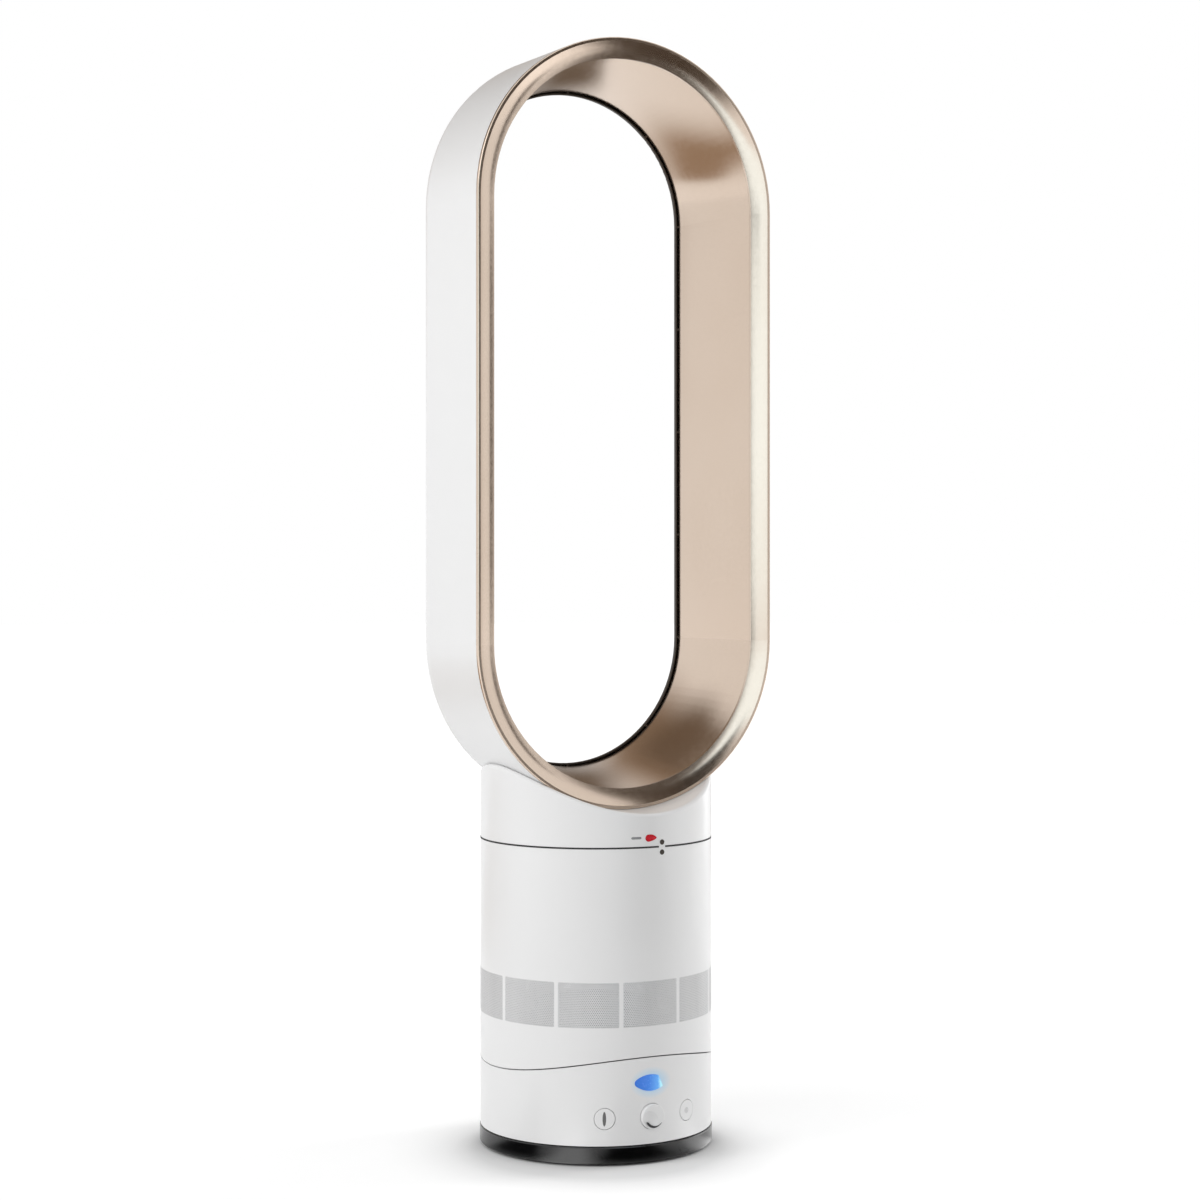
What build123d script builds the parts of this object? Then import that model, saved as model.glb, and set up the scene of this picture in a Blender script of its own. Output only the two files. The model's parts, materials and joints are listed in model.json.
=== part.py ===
from build123d import *
import math
import os

# Bladeless tower fan: a fixed foot, a turntable that swings on it, a body that tilts in a
# curved cradle and carries the fan unit, and a tall loop nozzle that blows from a rear slot.
# Millimetres. +Z is up, the fan blows towards -Y, and the origin is on the floor below the
# middle of the foot. Control angles run from the front (-Y) towards the right (+X).

# ---------------------------------------------------------------- overall form
body_radius = 75.0
body_wall = 2.5
foot_top = 12.2
lower_rise = 42.8
body_rise = 142.6
collar_rise = 21.4
cradle_radius = 249.0
loop_half_width = 106.0
loop_straight = 279.0
loop_front = -44.3
loop_back = 43.7

# ---------------------------------------------------------------- shared clearances
line_gap = 0.8
tilt_gap = 0.7
part_clearance = 0.2
moving_clearance = 0.3
bearing_clearance = 0.05
screw_clearance = 0.05
seat_gap = 0.1
overcut = 1.0

# ---------------------------------------------------------------- fasteners
screw_radius = 1.5
screw_head_radius = 2.8
small_head_radius = 2.4
screw_head_height = 1.8
flat_head_height = 1.0

# ---------------------------------------------------------------- foot
foot_overhang = 0.5
foot_wall = 3.0
foot_bottom = 1.5
foot_floor = 2.5
foot_edge_round = 0.8
pad_radius = 7.0
pad_recess = 0.6
pad_inset = 13.5
pad_count = 6
post_radius = 11.0
post_bore = 8.0
post_flange_radius = 21.0
post_flange_height = 2.5
post_screw_circle = 16.5
hub_stub = 5.2
clip_width = 1.2
clip_radius = 15.5
clip_mouth = 5.0
ballast_width = 14.0
ballast_height = 6.0
slide_ring_width = 4.5
slide_ring_gap = 2.5
inlet_width = 9.0
inlet_length = 11.0
inlet_body_height = 6.8
inlet_nose_radius = 3.6
inlet_bore_radius = 2.8
inlet_pin_radius = 1.05

# ---------------------------------------------------------------- oscillation drive
gear_module = 1.0
sector_teeth = 64
sector_reach = 8
pinion_teeth = 16
pinion_lift = 0.6
gear_width = 5.0
gear_backlash = 0.12
pressure_angle = 20.0
sector_gap = 2.5
sector_screw_circle = 27.0
stepper_radius = 14.0
stepper_height = 19.0
stepper_shaft_radius = 2.5
stepper_boss_radius = 5.0
stepper_offset = 7.0
stepper_ear_span = 17.5
stepper_ear_radius = 3.5

# ---------------------------------------------------------------- turntable
turntable_gap = 0.7
plate_thickness = 2.5
hub_wall = 3.7
bush_wall = 2.2
shell_ledge_height = 3.0
shell_ledge_width = 6.5
shell_screw_inset = 3.2
pillar_inset = 16.5
pillar_y = 22.0
pillar_radius = 4.5
carrier_inset = 12.0
carrier_wall = 2.5
carrier_reach = 38.0
carrier_tower = 13.0
carrier_headroom = 5.3
carrier_shoulder_rise = 14.0
board_x = 30.0
board_depth = 25.0
board_lift = 4.0
board_thickness = 1.6

# ---------------------------------------------------------------- tilting slide
tilt_limit = 10.0
rail_x = 30.0
rail_neck = 4.0
rail_flange = 9.0
rail_thickness = 2.5
rail_play = 0.5
slot_rim = 5.7
rocker_thickness = 3.0
cable_guide_radius = 5.4
cable_guide_flange = 2.4
cable_guide_wall = 1.2

# ---------------------------------------------------------------- controls
control_rise = 17.5
power_angle = -23.7
swing_button_angle = 22.0
button_radius = 6.5
button_flange = 1.7
button_travel = 1.0
button_proud = 0.2
button_depth = 6.0
button_edge_round = 0.3
key_stem_radius = 2.0
switch_size = 6.0
dial_radius = 7.9
dial_proud = 2.4
dial_depth = 5.5
dial_shaft_radius = 3.0
dial_edge_round = 0.8
dish_depth = 1.1
dish_radius = 6.0
dish_offset = 3.6
dish_angle = 215.0
encoder_size = 11.0
lens_rise = 38.5
lens_shift = -2.6
lens_proud = 0.15
lamp_angle = -2.0

# ---------------------------------------------------------------- tilting body
grille_rise = 31.3
grille_height = 27.9
windows_each_side = 5
window_pitch = 31.5
window_bar = 2.6
mesh_thickness = 0.8
mesh_recess = 0.3
mesh_slots_per_window = 7
mesh_slot_width = 2.6
ledge_rise = 5.3
ledge_thickness = 3.0
ledge_width = 9.5
isolation_height = 3.0
flange_thickness = 2.5
driver_rise = 17.0
driver_x = 44.0
driver_y = 27.0
driver_stud_radius = 4.0
cover_height = 11.0
cover_wall = 1.5
foam_thickness = 8.0

# ---------------------------------------------------------------- fan unit
duct_inset = 12.5
shroud_step = 1.5
throat_step = 20.0
throat_drop = 0.5
cone_height = 29.0
housing_wall = 2.0
impeller_clearance = 0.8
hub_nose_radius = 7.5
blade_reach = 14.5
blade_count = 9
blade_thickness = 1.4
blade_sweep = 62.0
vane_count = 11
vane_thickness = 1.6
vane_sweep = -26.0
bucket_lift = 5.0
bucket_height = 31.0
cap_rise = 13.0
cap_tip_radius = 9.0
motor_radius = 30.0
motor_height = 24.0
shaft_radius = 3.0
bearing_radius = 8.0
bearing_width = 5.0
bearing_seat = 0.5
rotor_radius = 13.5
pole_count = 6

# ---------------------------------------------------------------- collar
spigot_depth = 7.3
spigot_wall = 2.3
duct_drop = 11.6
funnel_drop = 5.6
funnel_skirt = 12.0
funnel_wall = 2.0
funnel_gap = 2.5
gasket_drop = 9.6
gasket_width = 2.2
ledge_lift = 4.2
ledge_plate = 2.5
saddle_round = 2.0
duct_mouth_x = 50.0
duct_mouth_inset = 10.7
neck_screw_angle = 36.0
neck_screw_y = 14.0
pin_angle = 5.7
pin_radius = 1.65
pin_rise = 3.15
beacon_angle = -0.5
beacon_rise = 6.1
beacon_depth = 1.5

# ---------------------------------------------------------------- loop
loop_wall = 2.4
loop_back_round = 13.0
rim_width = 13.0
rim_dish = 3.3
rim_thickness = 1.8
rim_tongue = 6.0
rim_lip = 2.2
rim_edge_round = 0.8
inner_wall = 2.0
slot_inset = 21.6
slot_gap = 0.9
slot_depth = 3.9
nose_curl = 1.3
nose_width = 1.6
waist_depth = 37.3
waist_bulge = 2.5
lip_wall = 0.9
lip_inset = 18.0
lip_round = 2.0
spacer_pitch = 62.0
spacer_thickness = 1.2

# ---------------------------------------------------------------- sizes that follow
shell_inner = body_radius - body_wall
fit_radius = shell_inner - part_clearance
wall_cut_start = shell_inner - 10.0
wall_cut_end = body_radius + 5.0

cradle_low = foot_top + lower_rise
seam_height = cradle_low + body_rise
saddle_low = seam_height + collar_rise
tilt_axis_height = cradle_low + cradle_radius
arc_low = saddle_low + loop_half_width
arc_high = arc_low + loop_straight
control_height = foot_top + control_rise
lens_height = foot_top + lens_rise
grille_low = cradle_low + grille_rise
grille_high = grille_low + grille_height

foot_radius = body_radius + foot_overhang
foot_inner = foot_radius - foot_wall
floor_top = foot_bottom + foot_floor
ballast_outer = foot_inner - overcut
ballast_inner = ballast_outer - ballast_width
slide_ring_outer = ballast_inner - slide_ring_gap
slide_ring_inner = slide_ring_outer - slide_ring_width
post_seat = floor_top + post_flange_height
screw_tip = floor_top - 1.6
inlet_height = floor_top + inlet_body_height / 2

turntable_bottom = foot_top + turntable_gap
plate_top = turntable_bottom + plate_thickness
clip_groove_height = plate_top + hub_stub
post_top = clip_groove_height + clip_width + 2.2
gear_centres = gear_module * (sector_teeth + pinion_teeth) / 2
sector_inner = post_flange_radius + sector_gap
stepper_middle = gear_centres - stepper_offset
bush_inner = post_radius + bearing_clearance
bush_outer = bush_inner + bush_wall
hub_inner = bush_outer + screw_clearance
hub_outer = hub_inner + hub_wall
hub_low = post_seat + screw_head_height + moving_clearance
hub_high = clip_groove_height - 0.4

carrier_outer = shell_inner - carrier_inset
carrier_inner = carrier_outer - carrier_wall
carrier_top = lens_height + carrier_headroom
carrier_shoulder = control_height + carrier_shoulder_rise
switch_face = carrier_outer + seat_gap
button_back = body_radius - button_depth
button_flange_front = shell_inner - 1.1
switch_tip = button_back - 4.4
stem_tip = switch_tip + button_travel + 0.05
dial_back = body_radius - dial_depth
board_front = 0.6 - math.sqrt(carrier_inner ** 2 - board_x ** 2)
board_back = board_front + board_depth

rocker_radius = cradle_radius - tilt_gap
rocker_top = rocker_radius - rocker_thickness
deck_under = cradle_radius + body_wall
tilt_swing = deck_under * math.sin(math.radians(tilt_limit))
slot_half_length = math.sqrt(fit_radius ** 2 - rail_x ** 2) - slot_rim
rail_half_length = slot_half_length - tilt_swing - 0.3
driver_low = cradle_low + driver_rise
cover_top = driver_low + cover_height

ledge_top = grille_high + ledge_rise
housing_flange = ledge_top + isolation_height
duct_radius = shell_inner - duct_inset
shroud_top_radius = duct_radius - shroud_step
throat_radius = shroud_top_radius - throat_step
throat_height = ledge_top - throat_drop
shroud_top_height = throat_height + cone_height
hub_rim_radius = shroud_top_radius - blade_reach
hub_rim_height = shroud_top_height + 1.5
hub_back_height = hub_rim_height + 1.9
hub_waist_radius = hub_nose_radius + 12.5
hub_waist_height = shroud_top_height - 10.0
bucket_radius = hub_rim_radius + 2.0
bucket_floor = shroud_top_height + bucket_lift
bucket_top = bucket_floor + bucket_height
motor_bottom = bucket_floor + housing_wall
motor_top = motor_bottom + motor_height
stator_low = motor_bottom + 8.0
stator_high = motor_top - 7.0

collar_bottom = seam_height + line_gap
ledge_low = collar_bottom + ledge_lift
duct_top = seam_height - duct_drop
neck_base = seam_height - funnel_drop
neck_skirt = neck_base - funnel_skirt
neck_radius = duct_radius + housing_wall + funnel_gap
neck_outer = neck_radius + funnel_wall
collar_ledge_inner = neck_radius + 0.5
gasket_low = seam_height - gasket_drop
gasket_high = collar_bottom - spigot_depth
duct_mouth_y = loop_back - duct_mouth_inset
upper_pin_height = seam_height + pin_rise
lower_pin_height = seam_height - pin_rise
beacon_height = seam_height + beacon_rise

rim_inner = loop_half_width - rim_width
slot_radius = loop_half_width - slot_inset
slot_mouth = loop_back - slot_depth
lip_outer = loop_half_width - lip_inset
lip_inner = slot_radius - slot_gap - lip_wall
lip_back = loop_back - 0.2

ON_FLOOR = (Align.CENTER, Align.CENTER, Align.MIN)


# ================================================================ helpers
def disc(radius, low, high):
    """Solid upright cylinder between two heights."""
    return Pos(0, 0, low) * Cylinder(radius, high - low, align=ON_FLOOR)


def tube(outer, inner, low, high):
    """Upright ring between two heights."""
    return disc(outer, low, high) - disc(inner, low, high)


def post(x, y, radius, low, high):
    """Upright cylinder that stands off the body axis."""
    return Pos(x, y, 0) * disc(radius, low, high)


def block(x_range, y_range, z_range):
    """Box given by its two ends along each axis."""
    size = [pair[1] - pair[0] for pair in (x_range, y_range, z_range)]
    box = Box(*size, align=(Align.MIN, Align.MIN, Align.MIN))
    return Pos(x_range[0], y_range[0], z_range[0]) * box


def turned(*edges):
    """Solid of revolution about the body axis from edges drawn as (radius, height)."""
    return revolve(Plane.XZ * make_face(edges), Axis.Z)


def turned_polygon(*points):
    """Solid of revolution about the body axis from corners given as (radius, height)."""
    return turned(Polyline(*points, close=True))


def facing(angle, height):
    """Frame on the body axis whose X axis points out through the given control angle."""
    return Pos(0, 0, height) * Rot(0, 0, angle - 90)


def outward_rod(angle, height, radius, start, end):
    """Cylinder along a radius of the body, from one distance off the axis to another."""
    rod = Cylinder(radius, end - start, align=ON_FLOOR)
    return facing(angle, height) * Pos(start, 0, 0) * Rot(0, 90, 0) * rod


def wall_hole(angle, height, radius):
    """Round hole through the wall of the body."""
    return outward_rod(angle, height, radius, wall_cut_start, wall_cut_end)


def outward_block(angle, height, width, depth, start, end):
    """Box that faces out along a radius: width runs across it, depth up and down."""
    box = Box(end - start, width, depth, align=(Align.MIN, Align.CENTER, Align.CENTER))
    return facing(angle, height) * Pos(start, 0, 0) * box


def cradle(radius):
    """Lying cylinder about the tilt axis."""
    return Pos(0, 0, tilt_axis_height) * Rot(0, 90, 0) * Cylinder(radius, 3 * body_radius)


def cradle_skin(outer, inner, rim):
    """Curved plate between two radii of the tilt axis, trimmed to a round outline."""
    return (disc(rim, 0, seam_height) & cradle(outer)) - cradle(inner)


def loop_bed(radius):
    """Lying cylinder that continues the lower arc of the loop to front and back."""
    return Pos(0, 0, arc_low) * Rot(90, 0, 0) * Cylinder(radius, 3 * body_radius)


def loop_ring(face):
    """Sweeps a section, drawn as (radius, depth), round the long loop."""
    low = Pos(0, 0, arc_low) * face
    high = Pos(0, 0, arc_high) * face
    side = extrude(low, loop_straight, dir=(0, 0, 1))
    top = revolve(high, Axis((0, 0, arc_high), (0, -1, 0)), 180)
    bottom = revolve(low, Axis((0, 0, arc_low), (0, 1, 0)), 180)
    return side + top + mirror(side, Plane.YZ) + bottom


def section(*edges):
    """Face of a loop section from edges drawn as (radius, depth)."""
    return make_face(edges)


def polar(radius, angle):
    """Place (x, y) at a distance from the body axis and an angle in degrees from +X."""
    return (radius * math.cos(math.radians(angle)), radius * math.sin(math.radians(angle)))


def circle_places(count, radius, first=0.0):
    """Evenly spaced places on a circle."""
    return [polar(radius, first + 360 * index / count) for index in range(count)]


def corner_places(x, y):
    """The four corners of a rectangle about the body axis."""
    return [(-x, -y), (x, -y), (-x, y), (x, y)]


def screws(places, seat, tip, head_radius=screw_head_radius):
    """Pan-head screws driven downwards: head on the seat height, point at the tip height."""
    solids = []
    for x, y in places:
        shank = post(x, y, screw_radius, tip, seat)
        head = post(x, y, head_radius, seat, seat + screw_head_height)
        solids.append(shank + head)
    return solids


def screw_holes(places, low, high):
    """Holes that take the screws between two heights."""
    return [post(x, y, screw_radius + screw_clearance, low, high) for x, y in places]


def round_edges(part, radius, height):
    """Circular edges of one radius about the body axis at one height."""
    found = []
    for edge in part.edges().filter_by(GeomType.CIRCLE):
        if abs(edge.radius - radius) < 0.01 and abs(edge.arc_center.Z - height) < 0.01:
            found.append(edge)
    return found


# ================================================================ foot
post_screw_places = circle_places(3, post_screw_circle, 30)
sector_screw_places = [polar(sector_screw_circle, angle) for angle in (60, 90, 120)]
ballast_screw_places = circle_places(3, (ballast_inner + ballast_outer) / 2, 30)
pad_places = circle_places(pad_count, foot_radius - pad_inset)


def make_foot_tray():
    tray = disc(foot_radius, foot_bottom, foot_top)
    tray -= disc(foot_inner, floor_top, foot_top)
    tray = fillet(round_edges(tray, foot_radius, foot_top), foot_edge_round)
    tray = chamfer(round_edges(tray, foot_radius, foot_bottom), foot_edge_round)
    recess = pad_radius + seat_gap
    for x, y in pad_places:
        tray -= post(x, y, recess, foot_bottom, foot_bottom + pad_recess)
    mouth = inlet_nose_radius + seat_gap
    tray -= outward_rod(180, inlet_height, mouth, foot_inner - overcut, foot_radius + overcut)
    places = post_screw_places + sector_screw_places + ballast_screw_places
    tray -= screw_holes(places, screw_tip - seat_gap, floor_top)
    return tray


def make_rubber_pads():
    return [post(x, y, pad_radius, 0, foot_bottom + pad_recess) for x, y in pad_places]


def make_ballast_ring():
    ring = tube(ballast_outer, ballast_inner, floor_top, floor_top + ballast_height)
    notch = inlet_width / 2 + overcut
    ring -= block((-notch, notch), (0, foot_radius), (floor_top, foot_top))
    return ring - screw_holes(ballast_screw_places, floor_top, foot_top)


def make_pivot_post():
    pivot = disc(post_flange_radius, floor_top, post_seat)
    pivot += disc(post_radius, floor_top, post_top)
    pivot -= disc(post_bore, floor_top, post_top)
    groove = tube(post_radius + overcut, clip_inner, clip_groove_height, clip_groove_height + clip_width)
    return pivot - groove - screw_holes(post_screw_places, floor_top, post_seat)


clip_inner = post_radius - 1.0


def make_retaining_clip():
    low = clip_groove_height + seat_gap
    high = clip_groove_height + clip_width - seat_gap
    clip = tube(clip_radius, clip_inner + screw_clearance, low, high)
    mouth = block((-clip_mouth, clip_mouth), (-clip_radius, 0), (low, high))
    return clip - mouth


def make_slide_ring():
    return tube(slide_ring_outer, slide_ring_inner, floor_top, turntable_bottom - seat_gap)


def make_power_inlet():
    half = inlet_width / 2
    face = foot_inner - part_clearance
    back = face - inlet_length
    body = block((-half, half), (back, face), (floor_top, floor_top + inlet_body_height))
    body += outward_rod(180, inlet_height, inlet_nose_radius, face - 0.5, foot_radius - 0.4)
    bore_end = back + 1.5
    body -= outward_rod(180, inlet_height, inlet_bore_radius, bore_end, foot_radius)
    return body + outward_rod(180, inlet_height, inlet_pin_radius, bore_end - 0.5, face - 0.5)


def make_foot_screws():
    screw_set = screws(post_screw_places, post_seat, screw_tip)
    screw_set += screws(sector_screw_places, floor_top + gear_width, screw_tip)
    return screw_set + screws(ballast_screw_places, floor_top + ballast_height, screw_tip)


# ================================================================ oscillation drive
def involute(angle):
    """Involute of an angle in radians."""
    return math.tan(angle) - angle


def tooth(count):
    """One tooth of an involute gear on its X axis, rooted well inside the root circle."""
    pitch = gear_module * count / 2
    base = pitch * math.cos(math.radians(pressure_angle))
    tip = pitch + gear_module
    root = pitch - 1.25 * gear_module
    start = max(base, root)
    half_pitch = math.pi / (2 * count) - gear_backlash / (2 * pitch)
    flank = []
    for step in range(4):
        radius = start + (tip - start) * step / 3
        turn = half_pitch + involute(math.radians(pressure_angle))
        turn -= involute(math.acos(base / radius))
        flank.append((radius * math.cos(turn), radius * math.sin(turn)))
    foot_turn = math.atan2(flank[0][1], flank[0][0])
    heel = ((root - 0.4) * math.cos(foot_turn), (root - 0.4) * math.sin(foot_turn))
    mirrored = [(x, -y) for x, y in flank]
    edges = [
        Line(heel, flank[0]),
        Spline(*flank),
        ThreePointArc(flank[-1], (tip, 0), mirrored[-1]),
        Spline(*mirrored[::-1]),
        Line(mirrored[0], (heel[0], -heel[1])),
        Line((heel[0], -heel[1]), heel),
    ]
    return extrude(make_face(edges), gear_width)


def make_sector_gear():
    step = 360 / sector_teeth
    root = gear_module * (sector_teeth / 2 - 1.25)
    arc = step * (2 * sector_reach + 1)
    rim = Rectangle(root - sector_inner, gear_width)
    middle = Plane.XZ * Pos((root + sector_inner) / 2, gear_width / 2) * rim
    gear = Rot(0, 0, -arc / 2) * revolve(middle, Axis.Z, arc)
    one = tooth(sector_teeth)
    gear += [Rot(0, 0, step * index) * one for index in range(-sector_reach, sector_reach + 1)]
    gear = Pos(0, 0, floor_top) * Rot(0, 0, 90) * gear
    return gear - screw_holes(sector_screw_places, floor_top, floor_top + gear_width)


pinion_shaft_top = plate_top + 6.0


def make_drive_pinion():
    step = 360 / pinion_teeth
    root = gear_module * (pinion_teeth / 2 - 1.25)
    one = tooth(pinion_teeth)
    gear = Cylinder(root, gear_width, align=ON_FLOOR)
    gear += [Rot(0, 0, 90 + step * (index + 0.5)) * one for index in range(pinion_teeth)]
    low = floor_top + pinion_lift
    gear = Pos(0, gear_centres, low) * gear
    return gear + post(0, gear_centres, stepper_shaft_radius, low, pinion_shaft_top)


def make_oscillation_motor():
    motor = post(0, stepper_middle, stepper_radius, plate_top, plate_top + stepper_height)
    reach = stepper_ear_span + stepper_ear_radius
    ear = block(
        (-reach, reach),
        (stepper_middle - stepper_ear_radius, stepper_middle + stepper_ear_radius),
        (plate_top, plate_top + 1),
    )
    motor += fillet(ear.edges().filter_by(Axis.Z), stepper_ear_radius - seat_gap)
    motor += post(0, gear_centres, stepper_boss_radius, turntable_bottom + 0.5, plate_top + 0.5)
    back = stepper_middle + stepper_radius
    motor += block((-7, 7), (back - 2, back + 3), (plate_top, plate_top + 10))
    bore = stepper_shaft_radius + bearing_clearance
    motor -= post(0, gear_centres, bore, turntable_bottom, pinion_shaft_top + moving_clearance)
    return motor - screw_holes(stepper_screw_places, plate_top, plate_top + 1)


# ================================================================ turntable
stepper_screw_places = [(-stepper_ear_span, stepper_middle), (stepper_ear_span, stepper_middle)]
shell_screw_places = circle_places(4, shell_inner - shell_screw_inset, 45)
pillar_places = corner_places(shell_inner - pillar_inset, pillar_y)
board_places = [(x, y) for x in (4 - board_x, board_x - 4) for y in (board_front + 4, board_back - 4)]
shell_screw_tip = plate_top + 2.6
pillar_screw_tip = plate_top + 9.0
flat_head_seat = turntable_bottom + seat_gap + flat_head_height


def make_turntable_plate():
    plate = disc(fit_radius, turntable_bottom, plate_top)
    plate += tube(hub_outer, hub_inner, hub_low, hub_high)
    plate -= disc(hub_inner, hub_low, hub_high)
    plate += [post(x, y, 3, plate_top - 0.5, plate_top + board_lift) for x, y in board_places]
    boss = stepper_boss_radius + part_clearance
    plate -= post(0, gear_centres, boss, turntable_bottom, plate_top)
    plate -= screw_holes(stepper_screw_places, turntable_bottom + 0.4, plate_top)
    plate -= screw_holes(shell_screw_places + pillar_places, turntable_bottom, plate_top)
    for x, y in shell_screw_places + pillar_places:
        plate -= post(x, y, screw_head_radius + seat_gap, turntable_bottom, flat_head_seat)
    return plate


def make_hub_bush():
    bush = tube(bush_outer, bush_inner, hub_low, hub_high)
    return bush + tube(clip_radius, bush_inner, hub_high, hub_high + 0.3)


def make_turntable_screws():
    solids = []
    for places, tip in ((shell_screw_places, shell_screw_tip), (pillar_places, pillar_screw_tip)):
        for x, y in places:
            head = post(x, y, screw_head_radius, turntable_bottom + seat_gap, flat_head_seat)
            solids.append(head + post(x, y, screw_radius, flat_head_seat, tip))
    return solids + screws(stepper_screw_places, plate_top + 1, turntable_bottom + 0.5)


def lens_outline(grow=0.0):
    """Leaf-shaped lens with a slanted right end, standing on the front of the body."""
    upper_left = (-8.2, 2.2)
    tip = (-9.1, 0.3)
    lower_left = (-7.8, -1.9)
    upper_right = (7.4, 4.2)
    lower_right = (10.4, -2.7)
    face = make_face([
        ThreePointArc(upper_left, (1.0, 5.2), upper_right),
        Line(upper_right, lower_right),
        ThreePointArc(lower_right, (-0.4, -4.8), lower_left),
        ThreePointArc(lower_left, tip, upper_left),
    ])
    if grow:
        face = offset(face, grow, kind=Kind.INTERSECTION)
    return Plane.XZ * Pos(lens_shift, lens_height) * face


def lens_prism(grow, back, front):
    """Lens outline run from one depth in the body out to another."""
    return Pos(0, -back, 0) * extrude(lens_outline(grow), front - back)


def make_control_shell():
    shell = tube(body_radius, shell_inner, turntable_bottom - part_clearance, grille_low)
    ledge_inner = shell_inner - shell_ledge_width
    shell += tube(shell_inner + seat_gap, ledge_inner, plate_top, plate_top + shell_ledge_height)
    shell -= cradle(cradle_radius)
    shell -= wall_hole(power_angle, control_height, button_radius + moving_clearance)
    shell -= wall_hole(swing_button_angle, control_height, button_radius + moving_clearance)
    shell -= wall_hole(0, control_height, dial_radius + moving_clearance)
    shell -= lens_prism(seat_gap, wall_cut_start, wall_cut_end)
    return shell - screw_holes(shell_screw_places, plate_top, shell_screw_tip + seat_gap)


def make_cradle_deck():
    deck = cradle_skin(deck_under, cradle_radius, fit_radius)
    pillars = [post(x, y, pillar_radius, plate_top, grille_low) for x, y in pillar_places]
    deck += [pillar - cradle(cradle_radius + body_wall / 2) for pillar in pillars]
    deck -= screw_holes(pillar_places, plate_top, pillar_screw_tip + part_clearance)
    low = control_height
    half_slot = rail_neck / 2 + rail_play
    for x in (-rail_x, rail_x):
        ends = (-slot_half_length, slot_half_length)
        deck -= block((x - half_slot, x + half_slot), ends, (low, grille_low))
    guide_slot = cable_guide_radius + 1.0
    reach = tilt_swing + guide_slot
    return deck - block((-guide_slot, guide_slot), (-reach, reach), (low, grille_low))


def make_switch_carrier():
    """Curved wall behind the controls, standing on the turntable plate."""
    profile = Rectangle(carrier_wall, carrier_top - plate_top)
    middle = Pos((carrier_outer + carrier_inner) / 2, (carrier_top + plate_top) / 2)
    wall = revolve(Plane.XZ * middle * profile, Axis.Z, 2 * carrier_reach)
    wall = Rot(0, 0, -90 - carrier_reach) * wall
    for side in (-1, 1):
        span = sorted((side * carrier_tower, side * body_radius))
        wall -= block(span, (-body_radius, 0), (carrier_shoulder, carrier_top + overcut))
    return wall


def make_button_switches():
    switches = []
    for angle in (power_angle, swing_button_angle):
        body = outward_block(angle, control_height, switch_size, switch_size, switch_face, switch_tip - 0.6)
        switches.append(body + outward_rod(angle, control_height, 1.7, switch_tip - 0.8, switch_tip))
    return switches


def make_button(angle):
    """Round key whose face follows the body, with a flange behind the wall and a stem."""
    cap = outward_rod(angle, control_height, button_radius, button_back, wall_cut_end)
    cap &= disc(body_radius + button_proud, 0, cradle_low)
    rim = cap.edges().filter_by(GeomType.CIRCLE, reverse=True).filter_by(GeomType.LINE, reverse=True)
    cap = fillet(rim, button_edge_round)
    flange = button_radius + button_flange
    cap += outward_rod(angle, control_height, flange, button_back, button_flange_front)
    return cap + outward_rod(angle, control_height, key_stem_radius, stem_tip, button_back + 0.5)


def make_speed_dial():
    front = body_radius + dial_proud
    dial = outward_rod(0, control_height, dial_radius, dial_back, front)
    dial = fillet(dial.edges().group_by(Axis.Y)[0], dial_edge_round)
    dial += outward_rod(0, control_height, dial_shaft_radius, dial_shaft_end, dial_back + 0.5)
    ball = (dish_radius ** 2 + dish_depth ** 2) / (2 * dish_depth)
    x, z = polar(dish_offset, dish_angle)
    return dial - Pos(x, -(front + ball - dish_depth), control_height + z) * Sphere(ball)


dial_shaft_end = carrier_outer + 0.8
encoder_front = dial_back - 2.5


def make_dial_encoder():
    body = outward_block(0, control_height, encoder_size, encoder_size, switch_face, encoder_front)
    bore = dial_shaft_radius + bearing_clearance
    return body - outward_rod(0, control_height, bore, dial_shaft_end - part_clearance, dial_back)


def make_status_lens():
    prism = lens_prism(0, wall_cut_start, wall_cut_end)
    return prism & tube(body_radius + lens_proud, shell_inner, control_height, cradle_low + 15)


def make_light_guide():
    """Clear block that carries the lamp's light to the whole lens."""
    guide = lens_prism(-1.2, carrier_outer + 0.5, wall_cut_end)
    guide &= disc(shell_inner - seat_gap, control_height, cradle_low + 15)
    guide -= disc(carrier_outer + seat_gap, control_height, cradle_low + 15)
    return guide - outward_block(lamp_angle, lens_height, 5.6, 4.2, carrier_outer, lamp_front + 1.0)


lamp_front = switch_face + 2.8


def make_status_led():
    led = outward_block(lamp_angle, lens_height, 5, 3.6, switch_face, switch_face + 1.2)
    return led + outward_rod(lamp_angle, lens_height, 1.6, switch_face + 1, lamp_front)


def make_control_board():
    low = plate_top + board_lift
    high = low + board_thickness
    front = board_front
    board = block((-board_x, board_x), (front, board_back), (low, high))
    board += block((4 - board_x, 14 - board_x), (front + 3, front + 13), (high, high + 8))
    board += block((10, 25), (front + 5, front + 11), (high, high + 6))
    board += post(0, front + 13, 4, high, high + 9)
    board += post(-8, front + 7, 2.5, high, high + 6)
    return board


# ================================================================ tilting body, lower part
rail_screw_y = rail_half_length - 7.0
rail_screw_places = corner_places(rail_x, rail_screw_y)
rail_screw_seat = tilt_axis_height - math.sqrt(rocker_top ** 2 - (rail_screw_y + 3) ** 2) + 0.05
rail_screw_tip = cradle_low - body_wall - rail_thickness + 1.5
driver_places = corner_places(driver_x - 5, driver_y - 5)


def make_rocker_plate():
    plate = cradle_skin(rocker_radius, rocker_top, fit_radius)
    studs = [post(x, y, driver_stud_radius, cradle_low, driver_low) for x, y in driver_places]
    plate += [stud & cradle(rocker_top + 1) for stud in studs]
    plate -= disc(cable_guide_radius + seat_gap, control_height, driver_low)
    plate -= screw_holes(rail_screw_places, control_height, driver_low)
    return plate - screw_holes(driver_places, driver_low - 6, driver_low)


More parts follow.
